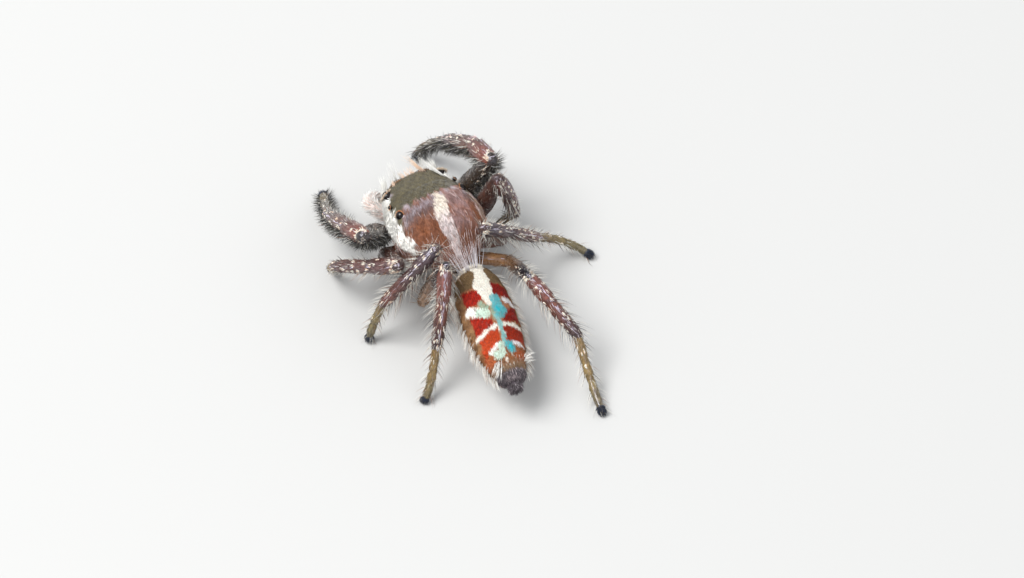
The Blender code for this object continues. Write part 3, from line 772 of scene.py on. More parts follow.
# The hair round the eyes: how many hairs each has, and the colour over it; below the eye it is paler.
RIM_HAIRS = {"front_middle": 240, "front_side": 190, "rear_middle": 40, "rear_side": 90}
RIM_TOPS = {
    "front_middle": paint(132, 104, 74), "front_side": paint(226, 206, 182),
    "rear_middle": paint(120, 100, 74), "rear_side": paint(120, 100, 74),
}
RIM_FOOT = paint(244, 232, 214)
groups, stands, colours, lengths = [], [], [], []
for name, (place, radius, gaze, _) in EYES.items():
    count, reach = RIM_HAIRS[name], 1.0 if name.startswith("front") else 0.55
    for mirror in (1, -1):
        way = unit(on_side(gaze, mirror))
        first = unit(np.cross(way, (0, 0, 1.0)))
        second = np.cross(first, way)
        angle = draw.uniform(0, 2 * np.pi, count)
        out = first * np.cos(angle)[:, None] + second * np.sin(angle)[:, None]
        groups.append(SimpleNamespace(
            along=np.full(count, 0.2), across=0.5 + angle * 0.01, side=out, back=np.tile(way, (count, 1)),
            root=on_side(place, mirror) + (out * 1.05 + way * 0.22) * radius, normal=out, turn=angle,
        ))
        stands.append(unit(out * spread(count, 0.5, 1.0) + way * 0.55 + draw.normal(0, 0.12, (count, 3))))
        above = np.clip(0.4 + 1.4 * out[:, 2:], 0, 1)
        colours.append(speckled(RIM_TOPS[name] * above + RIM_FOOT * (1 - above), 0.12))
        lengths.append(draw.uniform(0.07, 0.13, count) * (1 - 0.4 * above[:, 0]) * reach)
rims = strands(
    "eye_rim_hair", gathered(*groups), np.concatenate(stands), np.zeros(3), np.concatenate(lengths),
    0.020, np.concatenate(colours), stations=2, flat=0.6,
)
fitted(rims, hair_finish, "eye")

# The jaws. Two stout brown chelicerae hang below the face side by side, each ending in a curved
# dark fang, and a few pale bristles stand on their fronts.
JAW_BROWN, FANG_BROWN, JAW_PALE = paint(104, 52, 34), paint(46, 18, 14), paint(224, 208, 184)
# The left jaw's root, tip and radii along it, and its fang's start, middle and end from its tip.
JAW_ROOT, JAW_TIP = (0.25, -2.46, 1.36), (0.22, -2.78, 0.74)
JAW_RADII, FANG_RADII = (0.20, 0.21, 0.15), (0.055, 0.045, 0.008)
FANG = ((0.04, -0.04, -0.06), (-0.02, 0.02, -0.17), (-0.14, 0.20, -0.12))
# The share of a limb's surface that each of its round ends takes up.
CAP = 0.18


def bent(start, end, bow=(0, 0, 0)):
    """A curve from start to end whose middle is moved off the straight line by bow."""
    start, end = np.array(start, float), np.array(end, float)
    control = (start + end) / 2 + 2 * np.array(bow, float)

    def path(t):
        t = np.asarray(t, float)[..., None]
        return start * (1 - t) ** 2 + control * 2 * t * (1 - t) + end * t * t

    return path


def through(start, middle, end):
    """A curve from start to end that passes through middle."""
    return bent(start, end, np.array(middle, float) - (np.array(start, float) + np.array(end, float)) / 2)


def part_of(path, first, last):
    """A stretch of a path as a path of its own."""
    return lambda t: path(first + (last - first) * t)


def tube_surface(path, radii, up, narrow=1.0):
    """A round limb along a path, with a half ball at each end; turn runs over its outer side."""
    rows = np.stack([np.linspace(0, 1, len(radii)), radii], -1)
    up = np.array(up, float)

    def surface(along, turn):
        t = np.clip((along - CAP) / (1 - 2 * CAP), 0, 1)
        radius = smooth(rows, t)[..., 0]
        ahead = unit(path(t + 0.01) - path(t - 0.01))
        bend = np.clip(1 - np.minimum(along, 1 - along) / CAP, 0, 1) * np.pi / 2
        centre = path(t) + ahead * (radius * np.sin(bend) * np.where(along > 0.5, 1, -1))[..., None]
        radius = radius * np.cos(bend)
        rise = unit(up - ahead * np.sum(ahead * up, -1, keepdims=True))
        side = np.cross(ahead, rise)
        across = side * (radius * narrow * np.cos(turn))[..., None]
        return centre + across + rise * (radius * np.sin(turn))[..., None]

    return surface


hard_shell = tint_finish(
    "leg and jaw shell", 0.06, 0.22, 0.30, 0.006, specular=0.7, coat=0.55, coat_roughness=0.16,
    specular_tint=(0.86, 0.84, 1.0),
)
COUNT = 130
for side, mirror in (("l", 1), ("r", -1)):
    root, tip = on_side(JAW_ROOT, mirror), on_side(JAW_TIP, mirror)
    base_surface = tube_surface(bent(root, tip, (0, -0.04, 0)), JAW_RADII, (0, -1, 0))
    base = shaped(
        "base", base_surface, 40, 36, lambda at: JAW_BROWN * (1 + 0.3 * ripple(at.points, 0.1)[:, None])
    )
    fang_path = through(*(tip + on_side(place, mirror) for place in FANG))
    fang = shaped("fang", tube_surface(fang_path, FANG_RADII, (0, -1, 0)), 20, 24, FANG_BROWN)
    jaw = joined(f"jaw_{side}", [base, fang])
    fitted(jaw, hard_shell, "jaw", f"chelicera_{side}")
    roots = scattered(base_surface, COUNT, lambda p, a, t: np.clip(np.sin(t), 0, 1) * (a < 0.8))
    hairs = strands(
        f"jaw_{side}_hair", roots, roots.back + roots.normal * 0.6, -roots.normal * 0.2,
        spread(COUNT, 0.12, 0.24), 0.016, JAW_PALE, mottle=0.15,
    )
    fitted(hairs, hair_finish, "jaw")

# The underside. A hard oval sternum lies between the leg bases, with the lip and the two
# mouthparts in front of it, all brown with a thin coat of grey-brown hair.
STERNUM_FRONT, STERNUM_LENGTH, STERNUM_HALF_WIDTH = -2.20, 2.02, 0.42
STERNUM_HEIGHT, STERNUM_THICKNESS = 1.01, 0.17
STERNUM_BROWN, STERNUM_EDGE, LIP_BROWN = paint(110, 74, 48), paint(60, 38, 28), paint(88, 52, 36)
LIP_PLACE, LIP_RADII = (0, -2.30, 0.97), (0.13, 0.16, 0.10)
# The left mouthpart's root, end and bow, and its radii.
BLADE, BLADE_RADII = ((0.40, -2.06, 0.98), (0.17, -2.48, 0.90), (0.04, 0, -0.02)), (0.10, 0.15, 0.13)
BLADE_BROWN, BLADE_PALE, UNDER_GREY = paint(104, 62, 40), paint(206, 176, 140), paint(168, 148, 122)


def sternum_surface(along, turn):
    """The oval plate of the underside, dented between the leg bases."""
    y = STERNUM_FRONT + STERNUM_LENGTH * (1 - np.cos(np.pi * along)) / 2
    swell = np.maximum(np.sin(np.pi * along), 0) ** 0.5
    wide = STERNUM_HALF_WIDTH * (0.72 + 0.28 * np.sin(np.pi * np.clip(along * 1.1, 0, 1)))
    dents = 1 - 0.06 * np.cos(4 * 2 * np.pi * along) * np.abs(np.cos(turn))
    across = wide * dents * power(np.cos(turn), 0.7) * swell
    return np.stack([across, y, STERNUM_HEIGHT + STERNUM_THICKNESS * power(np.sin(turn), 0.7) * swell], -1)


underside = tint_finish("underside shell", 0.05, 0.25, 0.45, 0.008, coat=0.2)
parts = [
    shaped(
        "plate", sternum_surface, 64, 48,
        lambda at: mixed(STERNUM_BROWN, STERNUM_EDGE, np.cos(at.turn) ** 2),
    ),
    shaped("lip", ball_surface(LIP_PLACE, LIP_RADII), 32, 24, LIP_BROWN),
]
for mirror in (1, -1):
    blade_path = bent(*(on_side(place, mirror) for place in BLADE))
    parts.append(shaped(
        "blade", tube_surface(blade_path, BLADE_RADII, (0, 0, 1)), 32, 28,
        lambda at: mixed(BLADE_BROWN, BLADE_PALE, (at.along - 0.7) / 0.2),
    ))
sternum = joined("sternum", parts)
fitted(sternum, underside, "underside", "sternum")
COUNT = 900
roots = scattered(sternum_surface, COUNT, lambda p, a, t: np.clip(-np.sin(t) + 0.2, 0, 1))
hairs = strands(
    "sternum_hair", roots, roots.back + roots.normal * spread(COUNT, 0.3, 0.8), -roots.normal * 0.2,
    spread(COUNT, 0.08, 0.16), 0.014, UNDER_GREY, mottle=0.2, stations=2,
)
fitted(hairs, hair_finish, "underside")

# The palps. Two short feelers beside the jaws, pale pinkish brown and fluffed with long fine
# white hair; the end of each is a swollen dark bulb under its hair.
ARM_RADII, TIP_RADII = (0.10, 0.12, 0.12), (0.11, 0.155, 0.08)
ARM_SKIN, ARM_RING = paint(226, 200, 188), paint(160, 120, 100)
BULB_TOP, BULB_FOOT = paint(190, 156, 136), paint(92, 52, 38)
PALP_WHITE, PALP_PINK = paint(248, 248, 244), paint(250, 234, 226)
ARM_HAIRS, TIP_HAIRS = 1100, 700
# Each palp's root, knee, wrist and end.
PALPS = {
    "l": ((0.60, -2.44, 0.98), (0.92, -2.98, 1.12), (0.68, -3.32, 0.88), (0.50, -3.42, 0.50)),
    "r": ((-0.60, -2.44, 0.98), (-0.72, -3.02, 1.16), (-0.58, -3.34, 0.90), (-0.46, -3.42, 0.50)),
}


def arm_tints(at):
    """The arm's skin, with a darker ring at each joint."""
    rings = np.clip(1 - np.abs(np.sin(at.along * 3 * np.pi)) * 3, 0, 1)
    return mixed(ARM_SKIN, ARM_RING, rings * 0.6)


for side, (root, knee, wrist, end) in PALPS.items():
    arm_surface = tube_surface(through(root, knee, wrist), ARM_RADII, (0, 0, 1))
    tip_surface = tube_surface(bent(wrist, end), TIP_RADII, (0, -1, 0))
    arm = shaped(f"palp_{side}_arm_skin", arm_surface, 32, 40, arm_tints)
    fitted(arm, hard_shell, "palp", f"palp_{side}_arm")
    tip = shaped(
        f"palp_{side}_tip_skin", tip_surface, 32, 32,
        lambda at: mixed(BULB_TOP, BULB_FOOT, -np.sin(at.turn)),
    )
    fitted(tip, hard_shell, "palp", f"palp_{side}_tip")
    roots = gathered(
        scattered(arm_surface, ARM_HAIRS, lambda p, a, t: a > 0.2), scattered(tip_surface, TIP_HAIRS)
    )
    COUNT = ARM_HAIRS + TIP_HAIRS
    long = (draw.uniform(0, 1, COUNT) < 0.25)[:, None]
    hairs = strands(
        f"palp_{side}_hair", roots, roots.back * 0.7 + roots.normal * spread(COUNT, 0.3, 1.0),
        -roots.normal * 0.15 - np.array((0, 0, 0.1)), spread(COUNT, 0.12, 0.20) + 0.12 * long,
        0.019, np.where(long, PALP_WHITE, PALP_PINK), mottle=0.08,
    )
    fitted(hairs, hair_finish, "palp")

# The waist. A narrow brown stalk in overlapping rings joins the carapace to the abdomen.
STALK_FRONT, STALK_LENGTH, STALK_RADIUS, STALK_HEIGHT = -0.14, 0.54, 0.115, 1.45
STALK_BROWN = paint(96, 58, 40)


def stalk_surface(along, turn):
    """The stalk, a little thicker at each of its rings."""
    ringed = STALK_RADIUS + 0.012 * np.sin(along * 26)
    radius = ringed * np.maximum(np.sin(np.pi * along), 0) ** 0.2
    y = STALK_FRONT + STALK_LENGTH * along
    return np.stack([radius * np.cos(turn), y, STALK_HEIGHT + radius * np.sin(turn)], -1)


stalk = shaped("waist", stalk_surface, 32, 60, STALK_BROWN)
fitted(stalk, underside, "underside", "pedicel")

# The abdomen. A soft egg with its marks in scale-like hair: a cream band from the front, three
# pairs of red blocks parted by white bars, mint and turquoise patches down the middle, and golden
# brown sides. It darkens to plum towards the spinnerets.
ABDOMEN_FRONT, ABDOMEN_TIP = np.array((-0.04, 0.27, 1.45)), np.array((0.58, 3.43, 0.98))
ABDOMEN_HALF_WIDTH, ABDOMEN_RISE, ABDOMEN_SAG = 0.69, 0.62, 0.54
ABDOMEN_BLUNT, ABDOMEN_SHOULDER = 0.64, 0.12
abdomen_axis = ABDOMEN_TIP - ABDOMEN_FRONT
abdomen_ahead = unit(abdomen_axis)
abdomen_up = unit(np.array((0, 0, 1.0)) - abdomen_ahead * abdomen_ahead[2])
abdomen_left = np.cross(abdomen_ahead, abdomen_up)


def abdomen_surface(along, turn):
    """The skin of the abdomen: its outline less the coat, with faint folds across its sides."""
    share = (1 - np.cos(np.pi * along)) / 2
    swell = np.maximum(np.sin(np.pi * along), 0) ** ABDOMEN_BLUNT
    swell = swell * (1 + ABDOMEN_SHOULDER * np.cos(np.pi * along))
    height = np.where(np.sin(turn) > 0, ABDOMEN_RISE, ABDOMEN_SAG) - COAT_DEPTH
    fold = 1 + 0.012 * np.sin(share * 60) * np.clip(np.abs(np.cos(turn)) - 0.3, 0, 1)
    place = ABDOMEN_FRONT + abdomen_axis * share[..., None]
    across = abdomen_left * ((ABDOMEN_HALF_WIDTH - COAT_DEPTH) * np.cos(turn) * swell * fold)[..., None]
    return place + across + abdomen_up * (height * np.sin(turn) * swell * fold)[..., None]


def patch(s, side, s_range, side_range, soft=0.04):
    """1 on a patch between two places along the abdomen and two across it."""
    return between(s, *s_range, soft) * between(side, *side_range, soft)


def bar(s, side, start, end, half):
    """1 on a straight bar from start to end, both places being (s, side)."""
    start, end = np.array(start), np.array(end)
    here = np.stack([s, side], -1)
    t = np.clip((here - start) @ (end - start) / np.sum((end - start) ** 2), 0, 1)
    away = np.linalg.norm(here - start - t[..., None] * (end - start), axis=-1)
    return np.clip((half - away) / 0.03 + 0.5, 0, 1)


def block(s, side, inner, outer, limits):
    """1 on a block whose inner and outer sides each have a start and an end along the abdomen."""
    t = np.clip((side - limits[0]) / (limits[1] - limits[0]), 0, 1)
    first, last = (inner[k] + (outer[k] - inner[k]) * t for k in (0, 1))
    return between(s, first, last, 0.03) * between(side, min(limits), max(limits), 0.04)


RED, RED_DARK, ORANGE_RED = paint(184, 40, 22), paint(126, 24, 16), paint(208, 84, 38)
GOLD_BROWN, BROWN, FLANK_BROWN = paint(170, 128, 88), paint(134, 98, 68), paint(98, 74, 58)
MIDDLE_AMBER, REAR_AMBER = paint(178, 120, 84), paint(160, 100, 62)
OLIVE_BROWN, TAIL_BROWN, TIP_PLUM = paint(122, 98, 68), paint(150, 122, 96), paint(112, 102, 104)
MINT, SAGE, TEAL = paint(216, 240, 222), paint(160, 182, 158), paint(150, 206, 204)
TURQUOISE, CYAN = paint(96, 188, 196), paint(50, 200, 214)
ABDOMEN_WHITE, PINK_WHITE, NOTCH = paint(255, 251, 240), paint(252, 246, 246), paint(104, 84, 66)
# Red blocks: start and end of the inner side, the same of the outer side, and the two limits across,
# with the left above zero; the last value is how orange the block is.
BLOCKS = (
    ((0.82, 1.20), (0.70, 1.17), (0.12, 0.52), 0.0), ((1.70, 1.86), (1.43, 2.00), (0.06, 0.53), 0.1),
    ((1.95, 2.32), (2.08, 2.56), (0.02, 0.50), 0.7), ((0.66, 1.10), (0.78, 1.12), (-0.19, -0.60), 0.0),
    ((1.52, 1.83), (1.38, 1.82), (-0.20, -0.62), 0.0), ((1.97, 2.36), (1.96, 2.38), (-0.13, -0.60), 0.25),
)
# The cream band of the front: place along, its left edge and its right edge.
BAND_ROWS = np.array((
    (-0.20, 0.14, -0.24), (0.10, 0.12, -0.23), (0.25, 0.06, -0.20), (0.48, 0.10, -0.22), (0.60, 0.19, -0.24),
    (0.74, 0.20, -0.23), (0.90, 0.14, -0.20), (1.10, 0.09, -0.17), (1.26, 0.05, -0.14), (1.36, -0.02, -0.06),
))
# Pale marks in the order in which they lie over each other: start, end, half width and colour.
BARS = (
    ((0.05, 0.02), (0.12, 0.42), 0.05, CREAM), ((1.34, -0.05), (1.66, -0.03), 0.055, SAGE),
    ((1.20, 0.20), (1.34, 0.10), 0.07, SAGE), ((1.30, 0.47), (1.42, 0.30), 0.12, ABDOMEN_WHITE),
    ((1.44, 0.27), (1.50, 0.16), 0.13, MINT), ((1.27, 0.36), (1.50, 0.31), 0.012, NOTCH),
    ((1.20, -0.46), (1.26, -0.57), 0.095, PINK_WHITE), ((1.88, 0.01), (2.03, 0.50), 0.050, CREAM),
    ((1.88, -0.16), (1.97, -0.56), 0.055, CREAM), ((2.50, 0.34), (2.38, 0.14), 0.05, ABDOMEN_WHITE),
    ((2.60, 0.25), (2.68, 0.16), 0.08, MINT), ((2.40, 0.05), (2.60, 0.08), 0.085, MINT),
    ((2.72, 0.28), (2.79, 0.12), 0.022, NOTCH), ((2.38, -0.27), (2.47, -0.46), 0.05, PINK_WHITE),
    ((1.62, -0.08), (1.98, -0.09), 0.06, TEAL), ((1.98, -0.09), (2.40, -0.06), 0.055, TEAL),
    ((1.14, -0.19), (1.60, -0.19), 0.125, TURQUOISE), ((1.38, -0.22), (1.50, -0.31), 0.09, TURQUOISE),
    ((2.42, -0.14), (2.56, -0.17), 0.10, TURQUOISE), ((1.42, -0.17), (1.48, -0.18), 0.045, CYAN),
    ((2.48, -0.16), (2.54, -0.16), 0.045, CYAN), ((2.00, -0.02), (2.03, -0.02), 0.022, CREAM),
    ((2.10, -0.15), (2.12, -0.15), 0.018, CREAM), ((2.76, 0.02), (2.80, 0.04), 0.03, CREAM),
)
# A mark whose red, green or blue is below this is clouded.
CLOUDED = 0.78
ABDOMEN_SHADE = 0.85


def abdomen_tints(points):
    """The marks of the abdomen: s is the way along it from its front, side the way to its left."""
    away = points - ABDOMEN_FRONT
    side, rise, s = away @ abdomen_left, away @ abdomen_up, away @ abdomen_ahead
    rough, fine = ripple(points, 0.14, 4) * 0.014, ripple(points, 0.05, 7) * 0.012
    s, side = s + rough + fine, side - rough + fine
    width = np.abs(side)
    top = np.clip((rise + 0.02) / 0.10, 0, 1)
    mottled = ripple(points, 0.07, 9)
    # The ground: golden brown, dark below, with an olive front and amber middle and rear.
    colours = mixed(np.zeros(points.shape) + GOLD_BROWN, BROWN, 0.45 + 0.45 * ripple(points, 0.18, 2))
    colours = mixed(colours, FLANK_BROWN, np.clip(-rise / 0.35, 0, 1) * 0.8)
    colours = mixed(colours, OLIVE_BROWN, patch(s, width, (-0.1, 0.74), (-1, 0.60), 0.10) * top)
    colours = mixed(colours, MIDDLE_AMBER, patch(s, width, (0.70, 2.3), (-1, 0.5), 0.08) * top)
    colours = mixed(colours, REAR_AMBER, patch(s, width, (2.3, 2.95), (-1, 0.55), 0.10) * top)
    for inner, outer, limits, orange in BLOCKS:
        # Blocks of the right side, turned from the lamp, are darker red: painted shade.
        tone = mixed(RED, RED_DARK, 0.35 + 0.6 * mottled + 0.5 * (limits[1] < 0))
        tone = mixed(tone, ORANGE_RED, orange * np.clip(0.7 + 0.8 * (s - inner[0]), 0, 1))
        colours = mixed(colours, tone, block(s, side, inner, outer, limits) * top)
    colours = mixed(colours, ORANGE_RED, patch(s, width, (2.58, 2.84), (0.20, 0.50), 0.10) * 0.35 * top)
    # The front band, the pale marks, and the tail.
    left_edge, right_edge = columns(BAND_ROWS, s)
    front_band = between(side, right_edge, left_edge, 0.03) * between(s, -0.2, 1.36, 0.04)
    colours = mixed(colours, CREAM, front_band * (rise > 0.05))
    for start, end, half, colour in BARS:
        cloud = 0.88 + 0.16 * mottled if colour.min() < CLOUDED else 1
        colours = mixed(colours, colour, bar(s, side, start, end, half) * top * cloud)
    colours = mixed(colours, TAIL_BROWN, np.clip((s - 2.76) / 0.16, 0, 1) * 0.9)
    colours = mixed(colours, TIP_PLUM, np.clip((s - 3.00) / 0.10, 0, 1))
    spots = np.clip(ripple(points, 0.05, 12) * 1.6 - 1.0, 0, 1)
    return mixed(colours, CREAM, spots * between(s, 2.62, 2.95, 0.1) * 0.7)


soft_skin = tint_finish("abdomen skin", 0.04, 0.15, 0.50, 0.006, sheen=0.1)
abdomen = shaped(
    "abdomen_skin", abdomen_surface, 160, 160, lambda at: abdomen_tints(at.points) * ABDOMEN_SHADE
)
fitted(abdomen, soft_skin, "abdomen", "abdomen")

COUNT = 19000
roots = scattered(abdomen_surface, COUNT, lambda p, a, t: 0.6 + 0.6 * (np.sin(t) > 0.1))
flank = np.clip(0.55 - np.sin(roots.turn), 0, 1)[:, None]
lie = roots.back + roots.side * spread(COUNT, -0.3, 0.3)
scales = strands(
    "abdomen_coat", roots, lie + roots.normal * (0.14 + 0.12 * flank + spread(COUNT, -0.06, 0.06)),
    -roots.normal * 0.12, spread(COUNT, 0.07, 0.11) + 0.10 * flank,
    spread(COUNT, 0.026, 0.036) - 0.012 * flank, abdomen_tints(roots.root),
    mottle=0.16, flat=0.45, stations=2, fullness=0.5,
)
fitted(scales, tint_finish("abdomen hair", 0.03, 0.10, 0.60, 0, specular=0.2), "abdomen")

# Long hair of the abdomen: white bristles low along both sides, a cream brush and a fan of long
# bristles over the waist at the front, a white tuft on each side of the tail, and dark down on it, with
# a painted highlight of pale hairs on its top.
UP = np.array((0, 0, 1.0))
BRISTLE_WHITE, BRISTLE_BROWN = paint(246, 242, 234), paint(150, 112, 82)
FAN_WHITE, TUFT_WHITE = paint(244, 238, 242), paint(250, 248, 242)
DOWN_DARK, DOWN_PALE = paint(112, 102, 106), paint(206, 188, 190)


def bristle_favour(points, along, turn):
    """How thickly bristles grow: mostly in a row a little below the middle of each side."""
    return hill(np.sin(turn) + 0.16, 0.24) * between(along, 0.14, 0.86, 0.1) + 0.004


COUNT = 900
roots = scattered(abdomen_surface, COUNT, bristle_favour)
tone = np.where(spread(COUNT, 0, 1) < 0.85, BRISTLE_WHITE, BRISTLE_BROWN)
bristles = strands(
    "abdomen_bristles", roots,
    roots.back * 0.7 + roots.normal * spread(COUNT, 0.6, 1.1) + roots.side * spread(COUNT, -0.2, 0.2),
    roots.back * 0.35 - roots.normal * 0.15, spread(COUNT, 0.18, 0.38), spread(COUNT, 0.010, 0.016),
    tone, mottle=0.08, stations=4,
)
fitted(bristles, hair_finish, "abdomen")

COUNT = 420
roots = rooted(abdomen_surface, draw.uniform(0.03, 0.13, COUNT), np.radians(draw.uniform(30, 128, COUNT)))
brush = strands(
    "abdomen_front_brush", roots, UP * 0.8 - abdomen_ahead * spread(COUNT, 0.1, 0.7) + roots.normal * 0.3,
    UP * -0.2, spread(COUNT, 0.07, 0.14), spread(COUNT, 0.020, 0.030), CREAM,
    mottle=0.05, stations=2, flat=0.5, dark_root=0.95,
)
fitted(brush, hair_finish, "abdomen")

COUNT = 38
angle = draw.uniform(36, 138, COUNT)
roots = rooted(abdomen_surface, draw.uniform(0.08, 0.16, COUNT), np.radians(angle))
sideways = ((angle - 90) / 50)[:, None]
lean = UP * spread(COUNT, 0.7, 1.0) - abdomen_ahead * spread(COUNT, 0.5, 0.9)
lean = lean - abdomen_left * sideways * spread(COUNT, 0.3, 0.6)
fan = strands(
    "abdomen_front_bristles", roots, lean, -abdomen_ahead * 0.2 - UP * 0.12, spread(COUNT, 0.42, 0.78),
    spread(COUNT, 0.014, 0.020), FAN_WHITE, mottle=0.06, stations=5, fullness=0.9,
)
fitted(fan, hair_finish, "abdomen")

# The two tufts of the tail: turn in degrees, place along the abdomen, and the way they point.
TUFTS = (
    (55, 0.75, abdomen_ahead * 0.8 + abdomen_left * 0.5 + UP * 0.2),
    (160, 0.73, UP * 0.7 - abdomen_left * 0.65),
)
EACH = 34
COUNT = EACH * len(TUFTS)
groups, stands = [], []
for turn, start, way in TUFTS:
    groups.append(rooted(
        abdomen_surface, draw.uniform(start, start + 0.06, EACH), np.radians(turn + draw.normal(0, 7, EACH))
    ))
    stands.append(unit(way + draw.normal(0, 0.16, (EACH, 3))))
tail_tufts = strands(
    "tail_tufts", gathered(*groups), np.concatenate(stands), abdomen_ahead * 0.2 - UP * 0.2,
    spread(COUNT, 0.18, 0.40), spread(COUNT, 0.014, 0.020), TUFT_WHITE, mottle=0.05, stations=4,
)
fitted(tail_tufts, hair_finish, "abdomen")

COUNT = 2600
roots = scattered(abdomen_surface, COUNT, lambda p, a, t: np.clip((a - 0.82) / 0.05, 0, 1), first=0.80)
# More of the down is pale on top of the tail near its end: a painted highlight.
shine = hill(roots.along - 0.90, 0.03)[:, None] * hill(roots.turn - 1.4, 0.6)[:, None]
tone = np.where(spread(COUNT, 0, 1) < 0.86 - 0.6 * shine, DOWN_DARK, DOWN_PALE)
down = strands(
    "tail_down", roots, roots.back * 0.6 + roots.normal * spread(COUNT, 0.5, 1.0) + abdomen_ahead * 0.3,
    -roots.normal * 0.15, spread(COUNT, 0.08, 0.17), spread(COUNT, 0.013, 0.019), tone,
    mottle=0.2, stations=2,
)
fitted(down, hair_finish, "abdomen")

# The spinnerets. Six short dark tubes at the tip of the abdomen round a small central lobe, each
# with a ring of fine hair at its end.
LOBE_RADII, TUBE_RADII, TUBE_HAIRS = (0.19, 0.18, 0.12), (0.065, 0.065, 0.045), 170
TUBE_PLUM, TUBE_HAIR, TUBE_HAIR_PALE = paint(74, 60, 70), paint(106, 96, 100), paint(206, 196, 200)


def spinneret_paths():
    """The path and the radii of the central lobe, then of each of the six tubes round it."""
    root = ABDOMEN_TIP - abdomen_ahead * 0.02
    yield bent(root - abdomen_ahead * 0.06, root + abdomen_ahead * 0.08), LOBE_RADII
    for i in range(6):
        turn = math.radians(60 * i + 30)
        out = abdomen_left * math.cos(turn) + abdomen_up * math.sin(turn)
        start = root + abdomen_ahead * 0.07 + out * 0.085
        yield bent(start, start + abdomen_ahead * 0.13 + out * 0.03), TUBE_RADII


parts, groups = [], []
for path, radii in spinneret_paths():
    tube = tube_surface(path, radii, abdomen_up)
    parts.append(shaped(
        "tube", tube, 24, 24, lambda at: TUBE_PLUM * (1 + 0.3 * np.sin(at.along * 20))[:, None]
    ))
    groups.append(scattered(tube, TUBE_HAIRS, lambda p, a, t: a > 0.3))
spinnerets = joined("spinnerets", parts)
fitted(spinnerets, underside, "spinnerets", "spinnerets")
roots = gathered(*groups)
COUNT = len(roots.along)
hairs = strands(
    "spinneret_hair", roots, roots.back * 0.7 + roots.normal * spread(COUNT, 0.4, 1.0), -roots.normal * 0.2,
    spread(COUNT, 0.07, 0.15), 0.015, np.where(spread(COUNT, 0, 1) < 0.1, TUBE_HAIR_PALE, TUBE_HAIR),
    mottle=0.2,
)
fitted(hairs, hair_finish, "spinnerets")

# The legs. Four pairs of hard jointed shells: coxa, femur, patella, tibia, metatarsus and tarsus,
# with soft pale skin showing at the joints and two small claws at each tip. The shells are dark
# red-brown, clouded and darker at the joints, and the feet olive-amber.
JOINT_SKIN, CLAW_BROWN = paint(120, 78, 58), paint(36, 26, 24)
# Root and hip of each left leg's coxa; the right ones are their mirror.
COXAE = {
    1: ((0.50, -1.88, 0.98), (1.12, -2.25, 1.02)),
    2: ((0.52, -1.36, 0.98), (1.32, -1.55, 1.02)),
    3: ((0.52, -0.90, 0.98), (1.36, -0.56, 0.96)),
    4: ((0.44, -0.46, 0.98), (1.22, 0.10, 0.94)),
}
# The pose of each leg: knee, outer end of the tibia, heel and tip.
POSE = {
    (1, "l"): ((2.00, -1.39, 2.30), (2.02, -3.22, 1.20), (1.65, -4.10, 0.50), (1.43, -4.62, 0.10)),
    (2, "l"): ((1.65, -0.37, 2.05), (2.60, -1.82, 1.05), (2.50, -2.19, 0.50), (2.38, -2.48, 0.10)),
    (3, "l"): ((0.77, -0.03, 2.50), (2.20, -0.09, 1.24), (2.46, -0.12, 0.62), (2.64, -0.08, 0.10)),
    (4, "l"): ((0.84, 0.58, 2.50), (1.69, 1.62, 1.10), (2.11, 2.05, 0.45), (2.38, 2.22, 0.10)),
    (1, "r"): ((-1.78, -1.79, 2.50), (-1.58, -3.60, 1.50), (-1.40, -4.28, 0.70), (-1.23, -4.56, 0.10)),
    (2, "r"): ((-1.64, -1.16, 2.50), (-2.08, -1.10, 1.00), (-2.00, -1.39, 0.50), (-1.89, -1.59, 0.10)),
    (3, "r"): ((-0.58, 0.00, 2.52), (-2.14, -0.08, 1.10), (-2.87, -0.06, 0.50), (-3.40, 0.39, 0.10)),
    (4, "r"): ((-1.02, 1.43, 1.90), (-1.49, 2.97, 1.00), (-1.33, 3.88, 0.40), (-1.17, 4.74, 0.10)),
}
# Where along the way from knee to ankle each leg's patella ends, and how far that joint is raised.
PATELLA_SHARE = 0.42
PATELLA_RISE = {
    (1, "l"): 0.10, (2, "l"): 0.04, (3, "l"): 0.04, (4, "l"): 0.08,
    (1, "r"): 0.20, (2, "r"): 0.06, (3, "r"): 0.04, (4, "r"): 0.10,
}
# Each segment's thickness along it, as shares of its radius.
SEGMENTS = {
    "coxa": (1.00, 1.00, 1.00, 1.00, 0.98, 0.92), "femur": (0.80, 1.00, 1.04, 1.00, 1.02, 0.90),
    "patella": (0.80, 0.97, 1.03, 1.03, 1.01, 0.86), "tibia": (0.80, 0.96, 1.00, 0.98, 1.01, 0.84),
    "metatarsus": (0.84, 0.95, 0.94, 0.95, 1.04, 0.86), "tarsus": (0.84, 0.95, 1.00, 0.96, 0.90, 0.74),
}
# Radii at the two ends of each segment, in the order above.
LEG_RADII = {
    1: ((0.18, 0.18), (0.28, 0.24), (0.23, 0.22), (0.22, 0.17), (0.13, 0.11), (0.11, 0.10)),
    2: ((0.17, 0.17), (0.24, 0.20), (0.20, 0.19), (0.19, 0.15), (0.12, 0.10), (0.10, 0.09)),
    3: ((0.16, 0.16), (0.21, 0.18), (0.18, 0.17), (0.17, 0.14), (0.11, 0.10), (0.10, 0.09)),
    4: ((0.16, 0.16), (0.21, 0.18), (0.18, 0.17), (0.17, 0.14), (0.11, 0.10), (0.10, 0.09)),
}
# The femur's width for its height, and the radius of a joint's skin as a share of the segment's end.
FEMUR_NARROW, JOINT_SHARE = 0.8, 0.76
